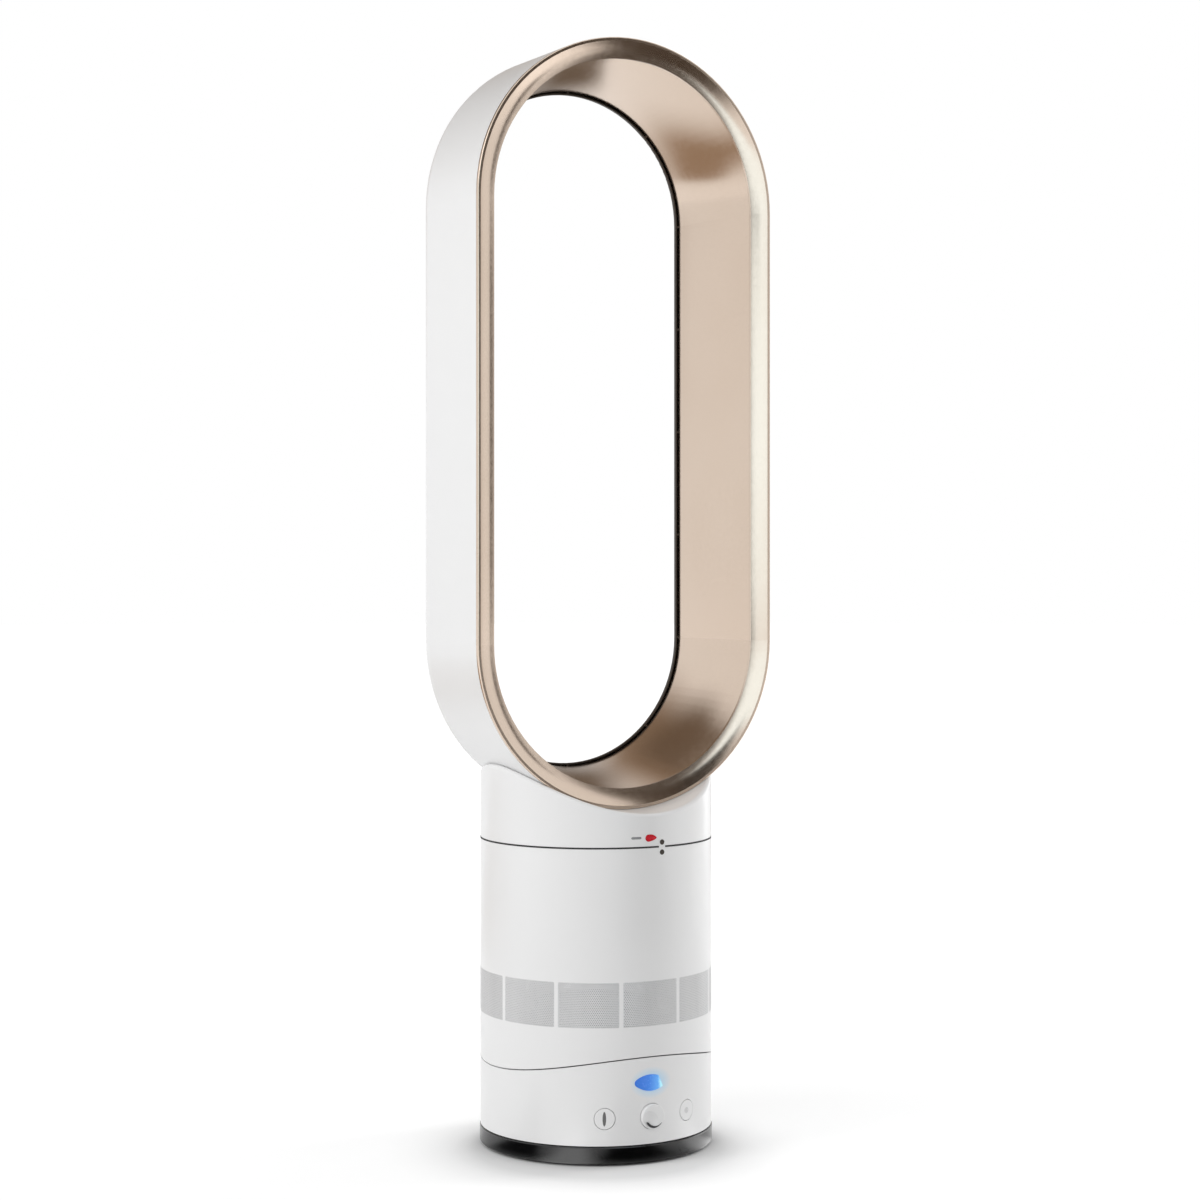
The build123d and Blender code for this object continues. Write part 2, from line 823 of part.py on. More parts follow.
def make_tilt_rails():
    """Two curved T rails that hang from the rocker through the slots of the deck."""
    top = deck_under + moving_clearance
    neck = cradle_skin(top + 0.5, rocker_radius + screw_clearance, body_radius)
    flange = cradle_skin(top + rail_thickness, top, body_radius)
    heights = (control_height, grille_low)
    rails = []
    for x in (-rail_x, rail_x):
        ends = (-rail_half_length, rail_half_length)
        rail = neck & block((x - rail_neck / 2, x + rail_neck / 2), ends, heights)
        rail += flange & block((x - rail_flange / 2, x + rail_flange / 2), ends, heights)
        rails.append(rail - screw_holes(rail_screw_places, rail_screw_tip - seat_gap, grille_low))
    return rails


def make_cable_guide():
    """Rubber sleeve that leads the wires through the rocker."""
    low = cradle_low - 4.5
    high = cradle_low + 6.0
    guide = disc(cable_guide_radius, low, high)
    lip = cable_guide_radius + cable_guide_flange
    guide += disc(lip, tilt_axis_height - rocker_top + part_clearance, high)
    return guide - disc(cable_guide_radius - cable_guide_wall, low, high)


def window_panels(grow, inner, outer):
    """Curved panels in the places of the inlet windows, the middle one at the front."""
    arc = window_pitch + math.degrees((2 * grow - window_bar) / body_radius)
    profile = Rectangle(outer - inner, grille_height + 2 * grow)
    middle = Plane.XZ * Pos((inner + outer) / 2, (grille_low + grille_high) / 2)
    panel = revolve(middle * profile, Axis.Z, arc)
    places = range(-windows_each_side, windows_each_side + 1)
    return [Rot(0, 0, -90 - arc / 2 + place * window_pitch) * panel for place in places]


def make_main_shell():
    shell = tube(body_radius, shell_inner, control_height, seam_height) & cradle(rocker_radius)
    shell -= window_panels(0, shell_inner - body_wall, body_radius + body_wall)
    root = shell_inner + seat_gap
    shell += tube(root, shell_inner - ledge_width, ledge_top - ledge_thickness, ledge_top)
    shell += tube(root, fit_radius - gasket_width - 1.1, gasket_low - 2.5, gasket_low)
    shell += seam_tab()
    return shell - wall_hole(pin_angle, lower_pin_height, pin_radius + screw_clearance)


mesh_low = grille_low - 4.0


def make_inlet_mesh():
    """Thin slotted band behind the body wall, pressed out into every window."""
    high = ledge_top - ledge_thickness - seat_gap
    root = fit_radius - mesh_thickness
    face = body_radius - mesh_recess
    band = tube(fit_radius, root, mesh_low, high)
    band += window_panels(-seat_gap, root, face)
    band -= window_panels(-seat_gap - mesh_thickness, root - mesh_thickness, face - mesh_thickness)
    middle = (grille_low + grille_high) / 2
    slot = outward_block(0, middle, mesh_slot_width, grille_height - 3, wall_cut_start, body_radius)
    share = window_pitch / (mesh_slots_per_window + 1)
    half_row = (mesh_slots_per_window - 1) / 2
    cuts = []
    for window in range(-windows_each_side, windows_each_side + 1):
        for place in range(mesh_slots_per_window):
            cuts.append(Rot(0, 0, window * window_pitch + share * (place - half_row)) * slot)
    return band - cuts


def make_mesh_clamp():
    return tube(fit_radius, fit_radius - 3.5, mesh_low - 3, mesh_low - seat_gap)


def make_driver_board():
    high = driver_low + board_thickness
    board = block((-driver_x, driver_x), (-driver_y, driver_y), (driver_low, high))
    board -= screw_holes(driver_places, driver_low, high)
    board += block((-30, -14), (-16, 0), (high, high + 7))
    board += block((16, 32), (-14, 14), (high, high + 5))
    board += post(0, 10, 5, high, high + 7)
    board += post(-20, 12, 4, high, high + 6)
    return board


def make_board_cover():
    """Fire-proof lid over the driver board."""
    low = driver_low + board_thickness + seat_gap
    outer = block((-driver_x, driver_x), (-driver_y, driver_y), (low, cover_top))
    cover = fillet(outer.edges().filter_by(Axis.Z), 3)
    inner_x = driver_x - cover_wall
    inner_y = driver_y - cover_wall
    hollow = block((-inner_x, inner_x), (-inner_y, inner_y), (low, cover_top - cover_wall))
    hollow -= [post(x, y, driver_stud_radius + part_clearance, low, cover_top) for x, y in driver_places]
    cover -= hollow
    cover -= screw_holes(driver_places, low, cover_screw_seat)
    pocket = screw_head_radius + seat_gap
    return cover - [post(x, y, pocket, cover_screw_seat, cover_top) for x, y in driver_places]


cover_screw_seat = cover_top - screw_head_height


def make_silencer_foam():
    return disc(throat_radius + 1.5, cover_top, cover_top + foam_thickness)


# ================================================================ fan unit
def shroud_radius(height):
    """Inner radius of the conical part of the housing."""
    slope = (shroud_top_radius - throat_radius) / (shroud_top_height - throat_height)
    return throat_radius + slope * (height - throat_height)


def make_impeller_housing():
    """Bell mouth, conical shroud and straight duct in one wall, with a mounting flange."""
    wall = housing_wall
    elbow = shroud_top_height + bucket_lift
    throat = (throat_radius, throat_height)
    waist = (throat_radius + 2.6, throat_height)
    lip = throat_radius + 6
    lip_low = throat_height - 5.6
    housing = turned(
        ThreePointArc((lip, lip_low), (throat_radius + 1.6, lip_low + 1.6), throat),
        Polyline(
            throat,
            (shroud_top_radius, shroud_top_height),
            (duct_radius, elbow),
            (duct_radius, duct_top),
            (duct_radius + wall, duct_top),
            (duct_radius + wall, elbow),
            (shroud_top_radius + wall, shroud_top_height - 1),
            waist,
        ),
        ThreePointArc(waist, (throat_radius + 3.6, lip_low + 3.2), (lip, lip_low + wall)),
        Line((lip, lip_low + wall), (lip, lip_low)),
    )
    flange_inner = shroud_radius(housing_flange + flange_thickness) + 0.5
    flange_top = housing_flange + flange_thickness
    return housing + tube(shell_inner - 1.5, flange_inner, housing_flange, flange_top)


def make_isolation_ring():
    return tube(shell_inner - 1, shell_inner - ledge_width + 1, ledge_top, housing_flange)


def hub_arc(inset=0.0):
    """Outline of the impeller hub, set in by a skin thickness where asked."""
    nose = (hub_nose_radius - inset * 0.8, throat_height + inset * 0.4)
    waist = (hub_waist_radius - inset * 0.7, hub_waist_height + inset * 0.7)
    rim = (hub_rim_radius, hub_rim_height + inset)
    return ThreePointArc(nose, waist, rim)


def blade(reach, thickness, low, high, sweep):
    """Twisted sheet that runs outwards from the body axis, in short ruled steps."""
    levels = 4
    faces = []
    for level in range(levels):
        share = level / (levels - 1)
        place = Pos(0, 0, low + share * (high - low)) * Rot(0, 0, sweep * share) * Pos(reach / 2, 0, 0)
        faces.append(place * Rectangle(reach, thickness))
    return loft(faces, ruled=True)


def make_impeller():
    arc = hub_arc()
    low = throat_height
    back = hub_back_height
    rim_corner = (hub_rim_radius, back)
    hub = turned(
        arc,
        Line(arc @ 1, rim_corner),
        Line(rim_corner, (0, back)),
        Line((0, back), (0, low)),
        Line((0, low), arc @ 0),
    )
    lip = hub_rim_radius - 2.5
    nose = hub_nose_radius
    hub -= turned_polygon(
        (nose + 1.5, back),
        (lip, back),
        (lip, back - 1.1),
        (hub_waist_radius + 2, hub_waist_height + 4),
        (nose + 4.5, hub_waist_height - 6),
        (nose + 1.5, hub_waist_height - 11),
    )
    low = throat_height + 2.5
    skin = hub_arc(1.0)
    tip_low = shroud_radius(low) - impeller_clearance
    tip_high = shroud_radius(shroud_top_height) - impeller_clearance
    start = skin @ 0
    rim = skin @ 1
    passage = turned(
        skin,
        Line(rim, (tip_high, rim.Y)),
        Line((tip_high, rim.Y), (tip_high, shroud_top_height)),
        Line((tip_high, shroud_top_height), (tip_low, low)),
        Line((tip_low, low), start),
    )
    sheet = blade(duct_radius, blade_thickness, throat_height, back, blade_sweep)
    one = sheet & passage
    impeller = hub + [Rot(0, 0, 360 * index / blade_count) * one for index in range(blade_count)]
    return impeller - disc(shaft_radius + screw_clearance, throat_height, back)


def make_diffuser():
    """Motor bucket with the fixed vanes that straighten the air."""
    bucket = disc(bucket_radius, bucket_floor, bucket_top)
    bucket -= disc(bucket_radius - housing_wall, motor_bottom, bucket_top)
    low = motor_bottom + 3
    high = bucket_top - 4
    sheet = blade(duct_radius + 5, vane_thickness, low, high, vane_sweep)
    ring = tube(duct_radius - 0.1, bucket_radius - 0.8, low, high)
    one = sheet & ring
    bucket += [Rot(0, 0, 360 * index / vane_count) * one for index in range(vane_count)]
    bucket -= disc(bearing_radius + 1, bucket_floor, motor_bottom)
    return bucket - screw_holes(motor_screw_places, bucket_floor, motor_bottom)


def make_bucket_cap():
    """Cone that closes the motor bucket and leads the air together."""
    low = bucket_top + seat_gap
    crown = low + cap_rise
    wall = housing_wall
    skirt = bucket_radius - wall - seat_gap
    return turned_polygon(
        (bucket_radius, low),
        (bucket_radius, low + 1.5),
        (cap_tip_radius, crown),
        (0, crown),
        (0, crown - wall),
        (cap_tip_radius - 1, crown - wall),
        (skirt - wall, low + part_clearance),
        (skirt - wall, low - 4),
        (skirt, low - 4),
        (skirt, low),
    )


motor_screw_places = circle_places(3, motor_radius - 8.0, 90)
motor_lid_low = motor_top + 0.05
motor_lid_top = motor_lid_low + 2.0


def make_motor_frame():
    frame = disc(motor_radius, motor_bottom, motor_top)
    frame -= disc(motor_radius - 2, motor_bottom + 2, motor_top)
    frame += disc(bearing_radius + 1.6, motor_bottom, motor_bottom + bearing_seat + bearing_width)
    frame -= disc(bearing_radius + screw_clearance, motor_bottom + bearing_seat, motor_top)
    frame -= disc(bearing_radius - 2, motor_bottom, motor_top)
    return frame - screw_holes(motor_screw_places, motor_bottom, motor_bottom + 2)


def make_motor_end_cap():
    boss_low = motor_lid_top - bearing_seat - bearing_width
    cap = disc(motor_radius, motor_lid_low, motor_lid_top)
    cap += disc(bearing_radius + 1.6, boss_low, motor_lid_low + 1)
    cap -= disc(bearing_radius + screw_clearance, boss_low, motor_lid_top - bearing_seat)
    return cap - disc(bearing_radius - 2, motor_lid_low, motor_lid_top)


def make_motor_bearings():
    low = motor_bottom + bearing_seat
    top = motor_lid_top - bearing_seat
    bore = shaft_radius + bearing_clearance
    lower = tube(bearing_radius, bore, low, low + bearing_width)
    return [lower, tube(bearing_radius, bore, top - bearing_width, top)]


def make_motor_stator():
    outer = motor_radius - 2.1
    stator = tube(outer, outer - 5, stator_low, stator_high)
    pole = block((rotor_radius + 0.5, outer - 4), (-3, 3), (stator_low, stator_high))
    shoe = tube(rotor_radius + 2, rotor_radius + 0.4, stator_low, stator_high)
    shoe &= block((0, outer), (-5, 5), (stator_low, stator_high))
    stator += [Rot(0, 0, 360 * index / pole_count) * (pole + shoe) for index in range(pole_count)]
    return stator


def make_motor_windings():
    outer = motor_radius - 8.2
    wrap = block((rotor_radius + 2.6, outer), (-5, 5), (stator_low - 1.8, stator_high + 1.8))
    wrap = fillet(wrap.edges().filter_by(Axis.X), 1.5)
    wrap -= block((rotor_radius, outer + 1), (-3.1, 3.1), (stator_low - 0.1, stator_high + 0.1))
    return [Rot(0, 0, 360 * index / pole_count) * wrap for index in range(pole_count)]


def make_rotor_magnet():
    return tube(rotor_radius, shaft_radius + screw_clearance, stator_low, stator_high)


def make_motor_shaft():
    shaft = disc(shaft_radius, throat_height - 4, motor_lid_top - 0.45)
    return chamfer(shaft.edges(), 0.4)


def make_impeller_nut():
    nut = Pos(0, 0, throat_height - 2.9) * extrude(RegularPolygon(5.0, 6), 2.8)
    return nut - disc(shaft_radius + screw_clearance, throat_height - 3, throat_height)


# ================================================================ collar
duct_screw_places = circle_places(4, collar_ledge_inner + 2.3, 45)


def seam_tab():
    """Small locating tab on the body that fills the seam line between the two pins."""
    root = shell_inner + moving_clearance
    tab = outward_block(pin_angle, seam_height, 4.8, 2 * line_gap, root, body_radius + overcut)
    return tab & disc(body_radius, lower_pin_height, collar_bottom - 0.02)


def beacon_outline(grow=0.0):
    """Blunt teardrop whose rounded point looks to the right."""
    crown = (-1.4, 2.2)
    belly = (-1.4, -2.2)
    point_top = (3.6, 0.6)
    point_low = (3.6, -0.5)
    face = make_face([
        ThreePointArc(belly, (-3.9, 0), crown),
        ThreePointArc(crown, (1.6, 1.85), point_top),
        ThreePointArc(point_top, (3.95, 0), point_low),
        ThreePointArc(point_low, (1.3, -1.5), belly),
    ])
    if grow:
        face = offset(face, grow, kind=Kind.INTERSECTION)
    return Plane.XZ * face


def beacon_prism(grow, back, front):
    prism = Pos(0, -back, 0) * extrude(beacon_outline(grow), front - back)
    return Pos(0, 0, beacon_height) * Rot(0, 0, beacon_angle) * prism


def duct_mouth(grow, low, high):
    """Upright oval passage from the collar into the loop."""
    oval = Ellipse(duct_mouth_x + grow, duct_mouth_y + grow)
    return Pos(0, 0, low) * extrude(oval, high - low)


def make_loop_collar():
    """Saddle under the loop, with a spigot that plugs into the body."""
    bed = loop_half_width + seat_gap
    collar = disc(body_radius, collar_bottom, arc_low) - loop_bed(bed)
    collar = fillet(collar.edges().sort_by(Axis.Z)[-1], saddle_round)
    collar -= disc(shell_inner, collar_bottom, arc_low) - loop_bed(bed + body_wall)
    spigot_inner = fit_radius - spigot_wall
    root = shell_inner + seat_gap
    collar += tube(fit_radius, spigot_inner, gasket_high, collar_bottom + 1)
    collar += tube(root, spigot_inner, collar_bottom + 0.4, ledge_low)
    collar += tube(root, collar_ledge_inner, ledge_low, ledge_low + ledge_plate)
    collar -= duct_mouth(0, ledge_low + ledge_plate + 0.5, arc_low)
    for height in (upper_pin_height, lower_pin_height):
        collar -= wall_hole(pin_angle, height, pin_radius + screw_clearance)
    collar -= beacon_prism(0.08, body_radius - beacon_depth - seat_gap, wall_cut_end)
    collar -= screw_holes(duct_screw_places, ledge_low, ledge_low + ledge_plate)
    return collar - neck_screw_rods(screw_radius + screw_clearance, bed + 14, bed - 16)


def neck_screw_rods(radius, outer, inner):
    """Rods square to the lower arc of the loop at the four neck screws."""
    rods = []
    for side in (-neck_screw_angle, neck_screw_angle):
        for y in (-neck_screw_y, neck_screw_y):
            rod = Cylinder(radius, outer - inner, align=ON_FLOOR)
            rods.append(Pos(0, y, arc_low) * Rot(0, 180 - side, 0) * Pos(0, 0, inner) * rod)
    return rods


def make_seam_gasket():
    return tube(fit_radius, fit_radius - gasket_width, gasket_low, gasket_high - 0.05)


clip_back = fit_radius - spigot_wall - seat_gap


def make_seam_clip():
    """Plate behind the seam with two pins that lock the collar's spigot to the body."""
    plate = outward_block(pin_angle, seam_height, 9, 11, wall_cut_start, body_radius)
    clip = plate & tube(clip_back, clip_back - 2, gasket_low, ledge_low - seat_gap)
    for height in (upper_pin_height, lower_pin_height):
        pin = outward_rod(pin_angle, height, pin_radius, clip_back - 1, wall_cut_end)
        clip += pin & disc(body_radius + seat_gap, gasket_low, saddle_low)
    return clip


def make_beacon_lens():
    prism = beacon_prism(0, body_radius - beacon_depth, wall_cut_end)
    return prism & disc(body_radius + lens_proud, seam_height, saddle_low)


def make_neck_duct():
    """Funnel from the fan housing to the oval mouth under the loop."""
    low = Pos(0, 0, neck_base)
    high = Pos(0, 0, saddle_low + 20)
    mouth = Ellipse(duct_mouth_x + funnel_wall, duct_mouth_y + funnel_wall)
    outer = loft([low * Circle(neck_outer), high * mouth])
    inner = loft([low * Circle(neck_radius), high * Ellipse(duct_mouth_x, duct_mouth_y)])
    duct = outer + tube(neck_outer, neck_radius, neck_skirt, neck_base)
    duct += disc(clip_back - seat_gap, duct_flange_high - 2, duct_flange_high)
    duct -= inner
    duct -= loop_bed(loop_half_width + body_wall + 0.5)
    duct -= outward_block(pin_angle, ledge_low, 10, 8, neck_outer + 0.5, body_radius)
    return duct - screw_holes(duct_screw_places, duct_flange_high - 2, duct_flange_high)


duct_flange_high = ledge_low - 0.05


def make_duct_seal():
    return tube(neck_radius - 0.05, duct_radius + housing_wall + 0.05, duct_top - 5, duct_top - 1)


def make_upper_body_screws():
    """Every screw of the tilting body: rails, board cover, motor, duct and loop neck."""
    solids = screws(rail_screw_places, rail_screw_seat, rail_screw_tip)
    solids += screws(driver_places, cover_screw_seat, driver_low - 5.8)
    raised = [
        (motor_screw_places, bucket_floor, motor_bottom + 5, 1.2),
        (duct_screw_places, duct_flange_high - 2, ledge_low + 2.2, screw_head_height),
    ]
    for places, seat, tip, head_height in raised:
        for x, y in places:
            head = post(x, y, small_head_radius, seat - head_height, seat)
            solids.append(head + post(x, y, screw_radius, seat, tip))
    seat = loop_half_width + body_wall + 0.4
    heads = neck_screw_rods(screw_head_radius, seat + screw_head_height, seat)
    shanks = neck_screw_rods(screw_radius, seat + 0.5, loop_half_width - 8.5)
    return solids + [head + shank for head, shank in zip(heads, shanks)]


# ================================================================ loop
def make_loop_outer_shell():
    """White outer skin, wrapped round the back as far as the slot."""
    out = loop_half_width
    back = loop_back
    wall = loop_wall
    start = loop_front + rim_lip
    seat = lip_outer
    big = loop_back_round
    small = big - wall
    ring = loop_ring(section(
        Line((out, start), (out, back - big)),
        RadiusArc((out, back - big), (out - big, back), -big),
        Line((out - big, back), (seat, back)),
        Line((seat, back), (seat, back - wall)),
        Line((seat, back - wall), (out - big, back - wall)),
        RadiusArc((out - big, back - wall), (out - wall, back - big), small),
        Line((out - wall, back - big), (out - wall, start)),
        Line((out - wall, start), (out, start)),
    ))
    ring += [rod & loop_bed(out - 1) for rod in neck_screw_rods(4, out, out - 9)]
    ring -= duct_mouth(0, saddle_low - 5, saddle_low + 30)
    return ring - neck_screw_rods(screw_radius + screw_clearance, out + 5, out - 8.6)


def make_slot_lip():
    """Dark trim at the back of the opening that forms the outer wall of the air slot."""
    back = lip_back
    wall = lip_wall
    front = slot_mouth
    knee = lip_round
    bend = back - knee
    corner = lip_inner + knee
    edge = lip_outer - seat_gap
    return loop_ring(section(
        Line((lip_inner, front), (lip_inner, bend)),
        RadiusArc((lip_inner, bend), (corner, back), knee),
        Line((corner, back), (edge, back)),
        Line((edge, back), (edge, back - wall)),
        Line((edge, back - wall), (corner, back - wall)),
        RadiusArc((corner, back - wall), (lip_inner + wall, bend), wall - knee),
        Line((lip_inner + wall, bend), (lip_inner + wall, front)),
        Line((lip_inner + wall, front), (lip_inner, front)),
    ))


def make_loop_inner_shell():
    """Metallic inner wall that the air jet clings to."""
    front = loop_front + rim_dish + rim_thickness
    wall = inner_wall
    waist = (slot_radius + waist_bulge, front + waist_depth - 4.1)
    nose = (slot_radius, slot_mouth)
    tip = (slot_radius + nose_width, slot_mouth + nose_curl)
    heel = (slot_radius + wall + 0.4, slot_mouth)
    return loop_ring(section(
        ThreePointArc((rim_inner, front), waist, nose),
        ThreePointArc(nose, (slot_radius + 0.3 * nose_width, slot_mouth + 0.8 * nose_curl), tip),
        Line(tip, heel),
        ThreePointArc(heel, (waist[0] + wall, waist[1]), (rim_inner + wall, front)),
        Line((rim_inner + wall, front), (rim_inner, front)),
    ))


def make_loop_front_rim():
    """Dished front bezel with a tongue that plugs into the outer skin."""
    out = loop_half_width
    front = loop_front
    crest = out - rim_lip
    inner_front = front + rim_dish
    inner_back = inner_front + rim_thickness - seat_gap
    middle = (crest + rim_inner) / 2
    tongue = out - loop_wall - seat_gap
    root = tongue - 1.6
    shoulder = front + rim_lip - seat_gap
    return loop_ring(section(
        RadiusArc((out, front + rim_edge_round), (out - rim_edge_round, front), rim_edge_round),
        Line((out - rim_edge_round, front), (crest, front)),
        ThreePointArc((crest, front), (middle, front + rim_dish * 0.667), (rim_inner, inner_front)),
        Line((rim_inner, inner_front), (rim_inner, inner_back)),
        ThreePointArc((rim_inner, inner_back), (middle + 0.2, front + 4.1), (root, front + 2.4)),
        Line((root, front + 2.4), (root, front + rim_tongue)),
        Line((root, front + rim_tongue), (tongue, front + rim_tongue)),
        Line((tongue, front + rim_tongue), (tongue, shoulder)),
        Line((tongue, shoulder), (out, shoulder)),
        Line((out, shoulder), (out, front + rim_edge_round)),
    ))


def make_slot_spacers():
    """Small bridges that hold the air slot open."""
    inner = lip_inner + lip_wall + 0.02
    outer = slot_radius - 0.05
    low = slot_mouth + seat_gap
    half = spacer_thickness / 2
    bridge = block((inner, outer), (low, lip_back - lip_round), (-half, half))
    spacers = []
    count = int(loop_straight / spacer_pitch)
    for index in range(count + 1):
        height = arc_low + loop_straight * index / count
        spacers.append(Pos(0, 0, height) * bridge)
        spacers.append(Pos(0, 0, height) * mirror(bridge, Plane.YZ))
    for turn in (45, 90, 135):
        spacers.append(Pos(0, 0, arc_high) * Rot(0, -turn, 0) * bridge)
        spacers.append(Pos(0, 0, arc_low) * Rot(0, turn, 0) * bridge)
    return spacers


# ================================================================ write every piece
def as_shape(piece):
    """A list of separate solids becomes one group."""
    if isinstance(piece, list):
        return Compound(children=[solid for item in piece for solid in item.solids()])
    return piece


pieces = {
    "foot_tray": make_foot_tray,
    "rubber_pads": make_rubber_pads,
    "ballast_ring": make_ballast_ring,
    "pivot_post": make_pivot_post,
    "retaining_clip": make_retaining_clip,
    "slide_ring": make_slide_ring,
    "power_inlet": make_power_inlet,
    "foot_screws": make_foot_screws,
    "sector_gear": make_sector_gear,
    "drive_pinion": make_drive_pinion,
    "oscillation_motor": make_oscillation_motor,
    "turntable_plate": make_turntable_plate,
    "hub_bush": make_hub_bush,
    "turntable_screws": make_turntable_screws,
    "control_shell": make_control_shell,
    "cradle_deck": make_cradle_deck,
    "switch_carrier": make_switch_carrier,
    "button_switches": make_button_switches,
    "power_button": lambda: make_button(power_angle),
    "oscillation_button": lambda: make_button(swing_button_angle),
    "speed_dial": make_speed_dial,
    "dial_encoder": make_dial_encoder,
    "status_lens": make_status_lens,
    "light_guide": make_light_guide,
    "status_led": make_status_led,
    "control_board": make_control_board,
    "main_shell": make_main_shell,
    "rocker_plate": make_rocker_plate,
    "tilt_rails": make_tilt_rails,
    "cable_guide": make_cable_guide,
    "inlet_mesh": make_inlet_mesh,
    "mesh_clamp": make_mesh_clamp,
    "driver_board": make_driver_board,
    "board_cover": make_board_cover,
    "silencer_foam": make_silencer_foam,
    "impeller_housing": make_impeller_housing,
    "isolation_ring": make_isolation_ring,
    "impeller": make_impeller,
    "impeller_nut": make_impeller_nut,
    "motor_shaft": make_motor_shaft,
    "rotor_magnet": make_rotor_magnet,
    "diffuser": make_diffuser,
    "bucket_cap": make_bucket_cap,
    "motor_frame": make_motor_frame,
    "motor_end_cap": make_motor_end_cap,
    "motor_bearings": make_motor_bearings,
    "motor_stator": make_motor_stator,
    "motor_windings": make_motor_windings,
    "upper_body_screws": make_upper_body_screws,
    "seam_gasket": make_seam_gasket,
    "loop_collar": make_loop_collar,
    "neck_duct": make_neck_duct,
    "duct_seal": make_duct_seal,
    "loop_outer_shell": make_loop_outer_shell,
    "loop_inner_shell": make_loop_inner_shell,
    "loop_front_rim": make_loop_front_rim,
    "slot_lip": make_slot_lip,
    "slot_spacers": make_slot_spacers,
    "seam_clip": make_seam_clip,
    "beacon_lens": make_beacon_lens,
}

os.makedirs("parts", exist_ok=True)
for name, make in pieces.items():
    export_step(as_shape(make()), f"parts/{name}.step")
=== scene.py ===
"""Looks of the bladeless fan: materials, small marks, the perforated inlet, light and camera."""
import json
import math

import bpy
from mathutils import Matrix, Vector


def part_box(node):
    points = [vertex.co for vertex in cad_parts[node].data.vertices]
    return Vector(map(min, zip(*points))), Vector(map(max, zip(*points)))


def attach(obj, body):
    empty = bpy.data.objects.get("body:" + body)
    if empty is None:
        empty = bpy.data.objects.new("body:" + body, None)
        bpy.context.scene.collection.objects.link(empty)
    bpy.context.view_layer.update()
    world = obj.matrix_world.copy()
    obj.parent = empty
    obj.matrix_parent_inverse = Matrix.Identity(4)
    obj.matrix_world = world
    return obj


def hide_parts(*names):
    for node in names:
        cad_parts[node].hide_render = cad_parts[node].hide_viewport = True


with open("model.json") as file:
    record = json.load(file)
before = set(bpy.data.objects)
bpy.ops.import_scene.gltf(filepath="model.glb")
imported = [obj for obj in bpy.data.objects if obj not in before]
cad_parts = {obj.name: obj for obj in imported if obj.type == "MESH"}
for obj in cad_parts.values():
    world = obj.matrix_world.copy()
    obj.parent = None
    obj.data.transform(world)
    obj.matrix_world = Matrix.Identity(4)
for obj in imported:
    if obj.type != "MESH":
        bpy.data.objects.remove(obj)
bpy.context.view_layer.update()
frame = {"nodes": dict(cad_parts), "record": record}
cad_nodes = frame["nodes"]

MM = 0.001

# ---------------------------------------------------------------- places read from the frame
shell_low, shell_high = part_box("main_shell")
body_radius = shell_high.x
mesh_low, mesh_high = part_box("inlet_mesh")
collar_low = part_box("loop_collar")[0]
lens_low, lens_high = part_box("status_lens")


def outward_angle(node):
    """Direction in which a node lies from the body axis, zero at the front, to the right positive."""
    low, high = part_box(node)
    middle = (low + high) / 2
    return math.atan2(middle.x, -middle.y)


def middle_height(node):
    """Height of a node's middle."""
    low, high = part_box(node)
    return (low.z + high.z) / 2


# ---------------------------------------------------------------- sizes of the added pieces
window_low = 86.3 * MM
window_high = 114.2 * MM
windows_each_side = 5
window_pitch = math.radians(31.5)
window_bar = 2.6 * MM
mesh_gap = 0.1 * MM
mesh_face = 0.3 * MM
mesh_step = 2.6 * MM
mesh_thickness = 0.4 * MM
hole_pitch = 1.25 * MM
hole_radius = 0.28 * MM
hole_corners = (210, 270, 330, 30, 90, 150)
hex_row = math.sqrt(3) / 2

seam_line = 0.8 * MM
spigot_depth = 7.3 * MM
seam_top = collar_low.z + spigot_depth
# sizes of the dark lip that paints the shade of the seam gap
lip_depth = 1.6 * MM
lip_gap = 0.06 * MM
lip_lap = 0.13 * MM
lip_clear = 0.02 * MM
lip_thickness = 0.12 * MM
lip_sides = 180
tab_angle = math.radians(5.7)
tab_half_width = 2.5 * MM

# painted glow: the lens's blue light painted into the shell's colour round the lens
glow_shift = 1.5 * MM
glow_margin = 5 * MM
glow_core = 0.45
glow_strength = 0.75

mark_thickness = 0.08 * MM
dash_length = 6.7 * MM
dash_width = 1.5 * MM
dash_angle = math.radians(-8.2)
dash_rise = 5.6 * MM
power_bar_height = 9.0 * MM
power_bar_width = 2.2 * MM
power_bar_shift = -0.65 * MM
swing_mark_radius = 1.9 * MM
# size and place of the painted shade along the lower edge of the dial
crescent_radius = 7.0 * MM
crescent_width = 1.5 * MM
crescent_start = 211
crescent_end = 325
key_proud = 0.2 * MM


# ================================================================ node tools
# spacing of a wave texture's bands at scale 1, in metres
wave_period = 0.314


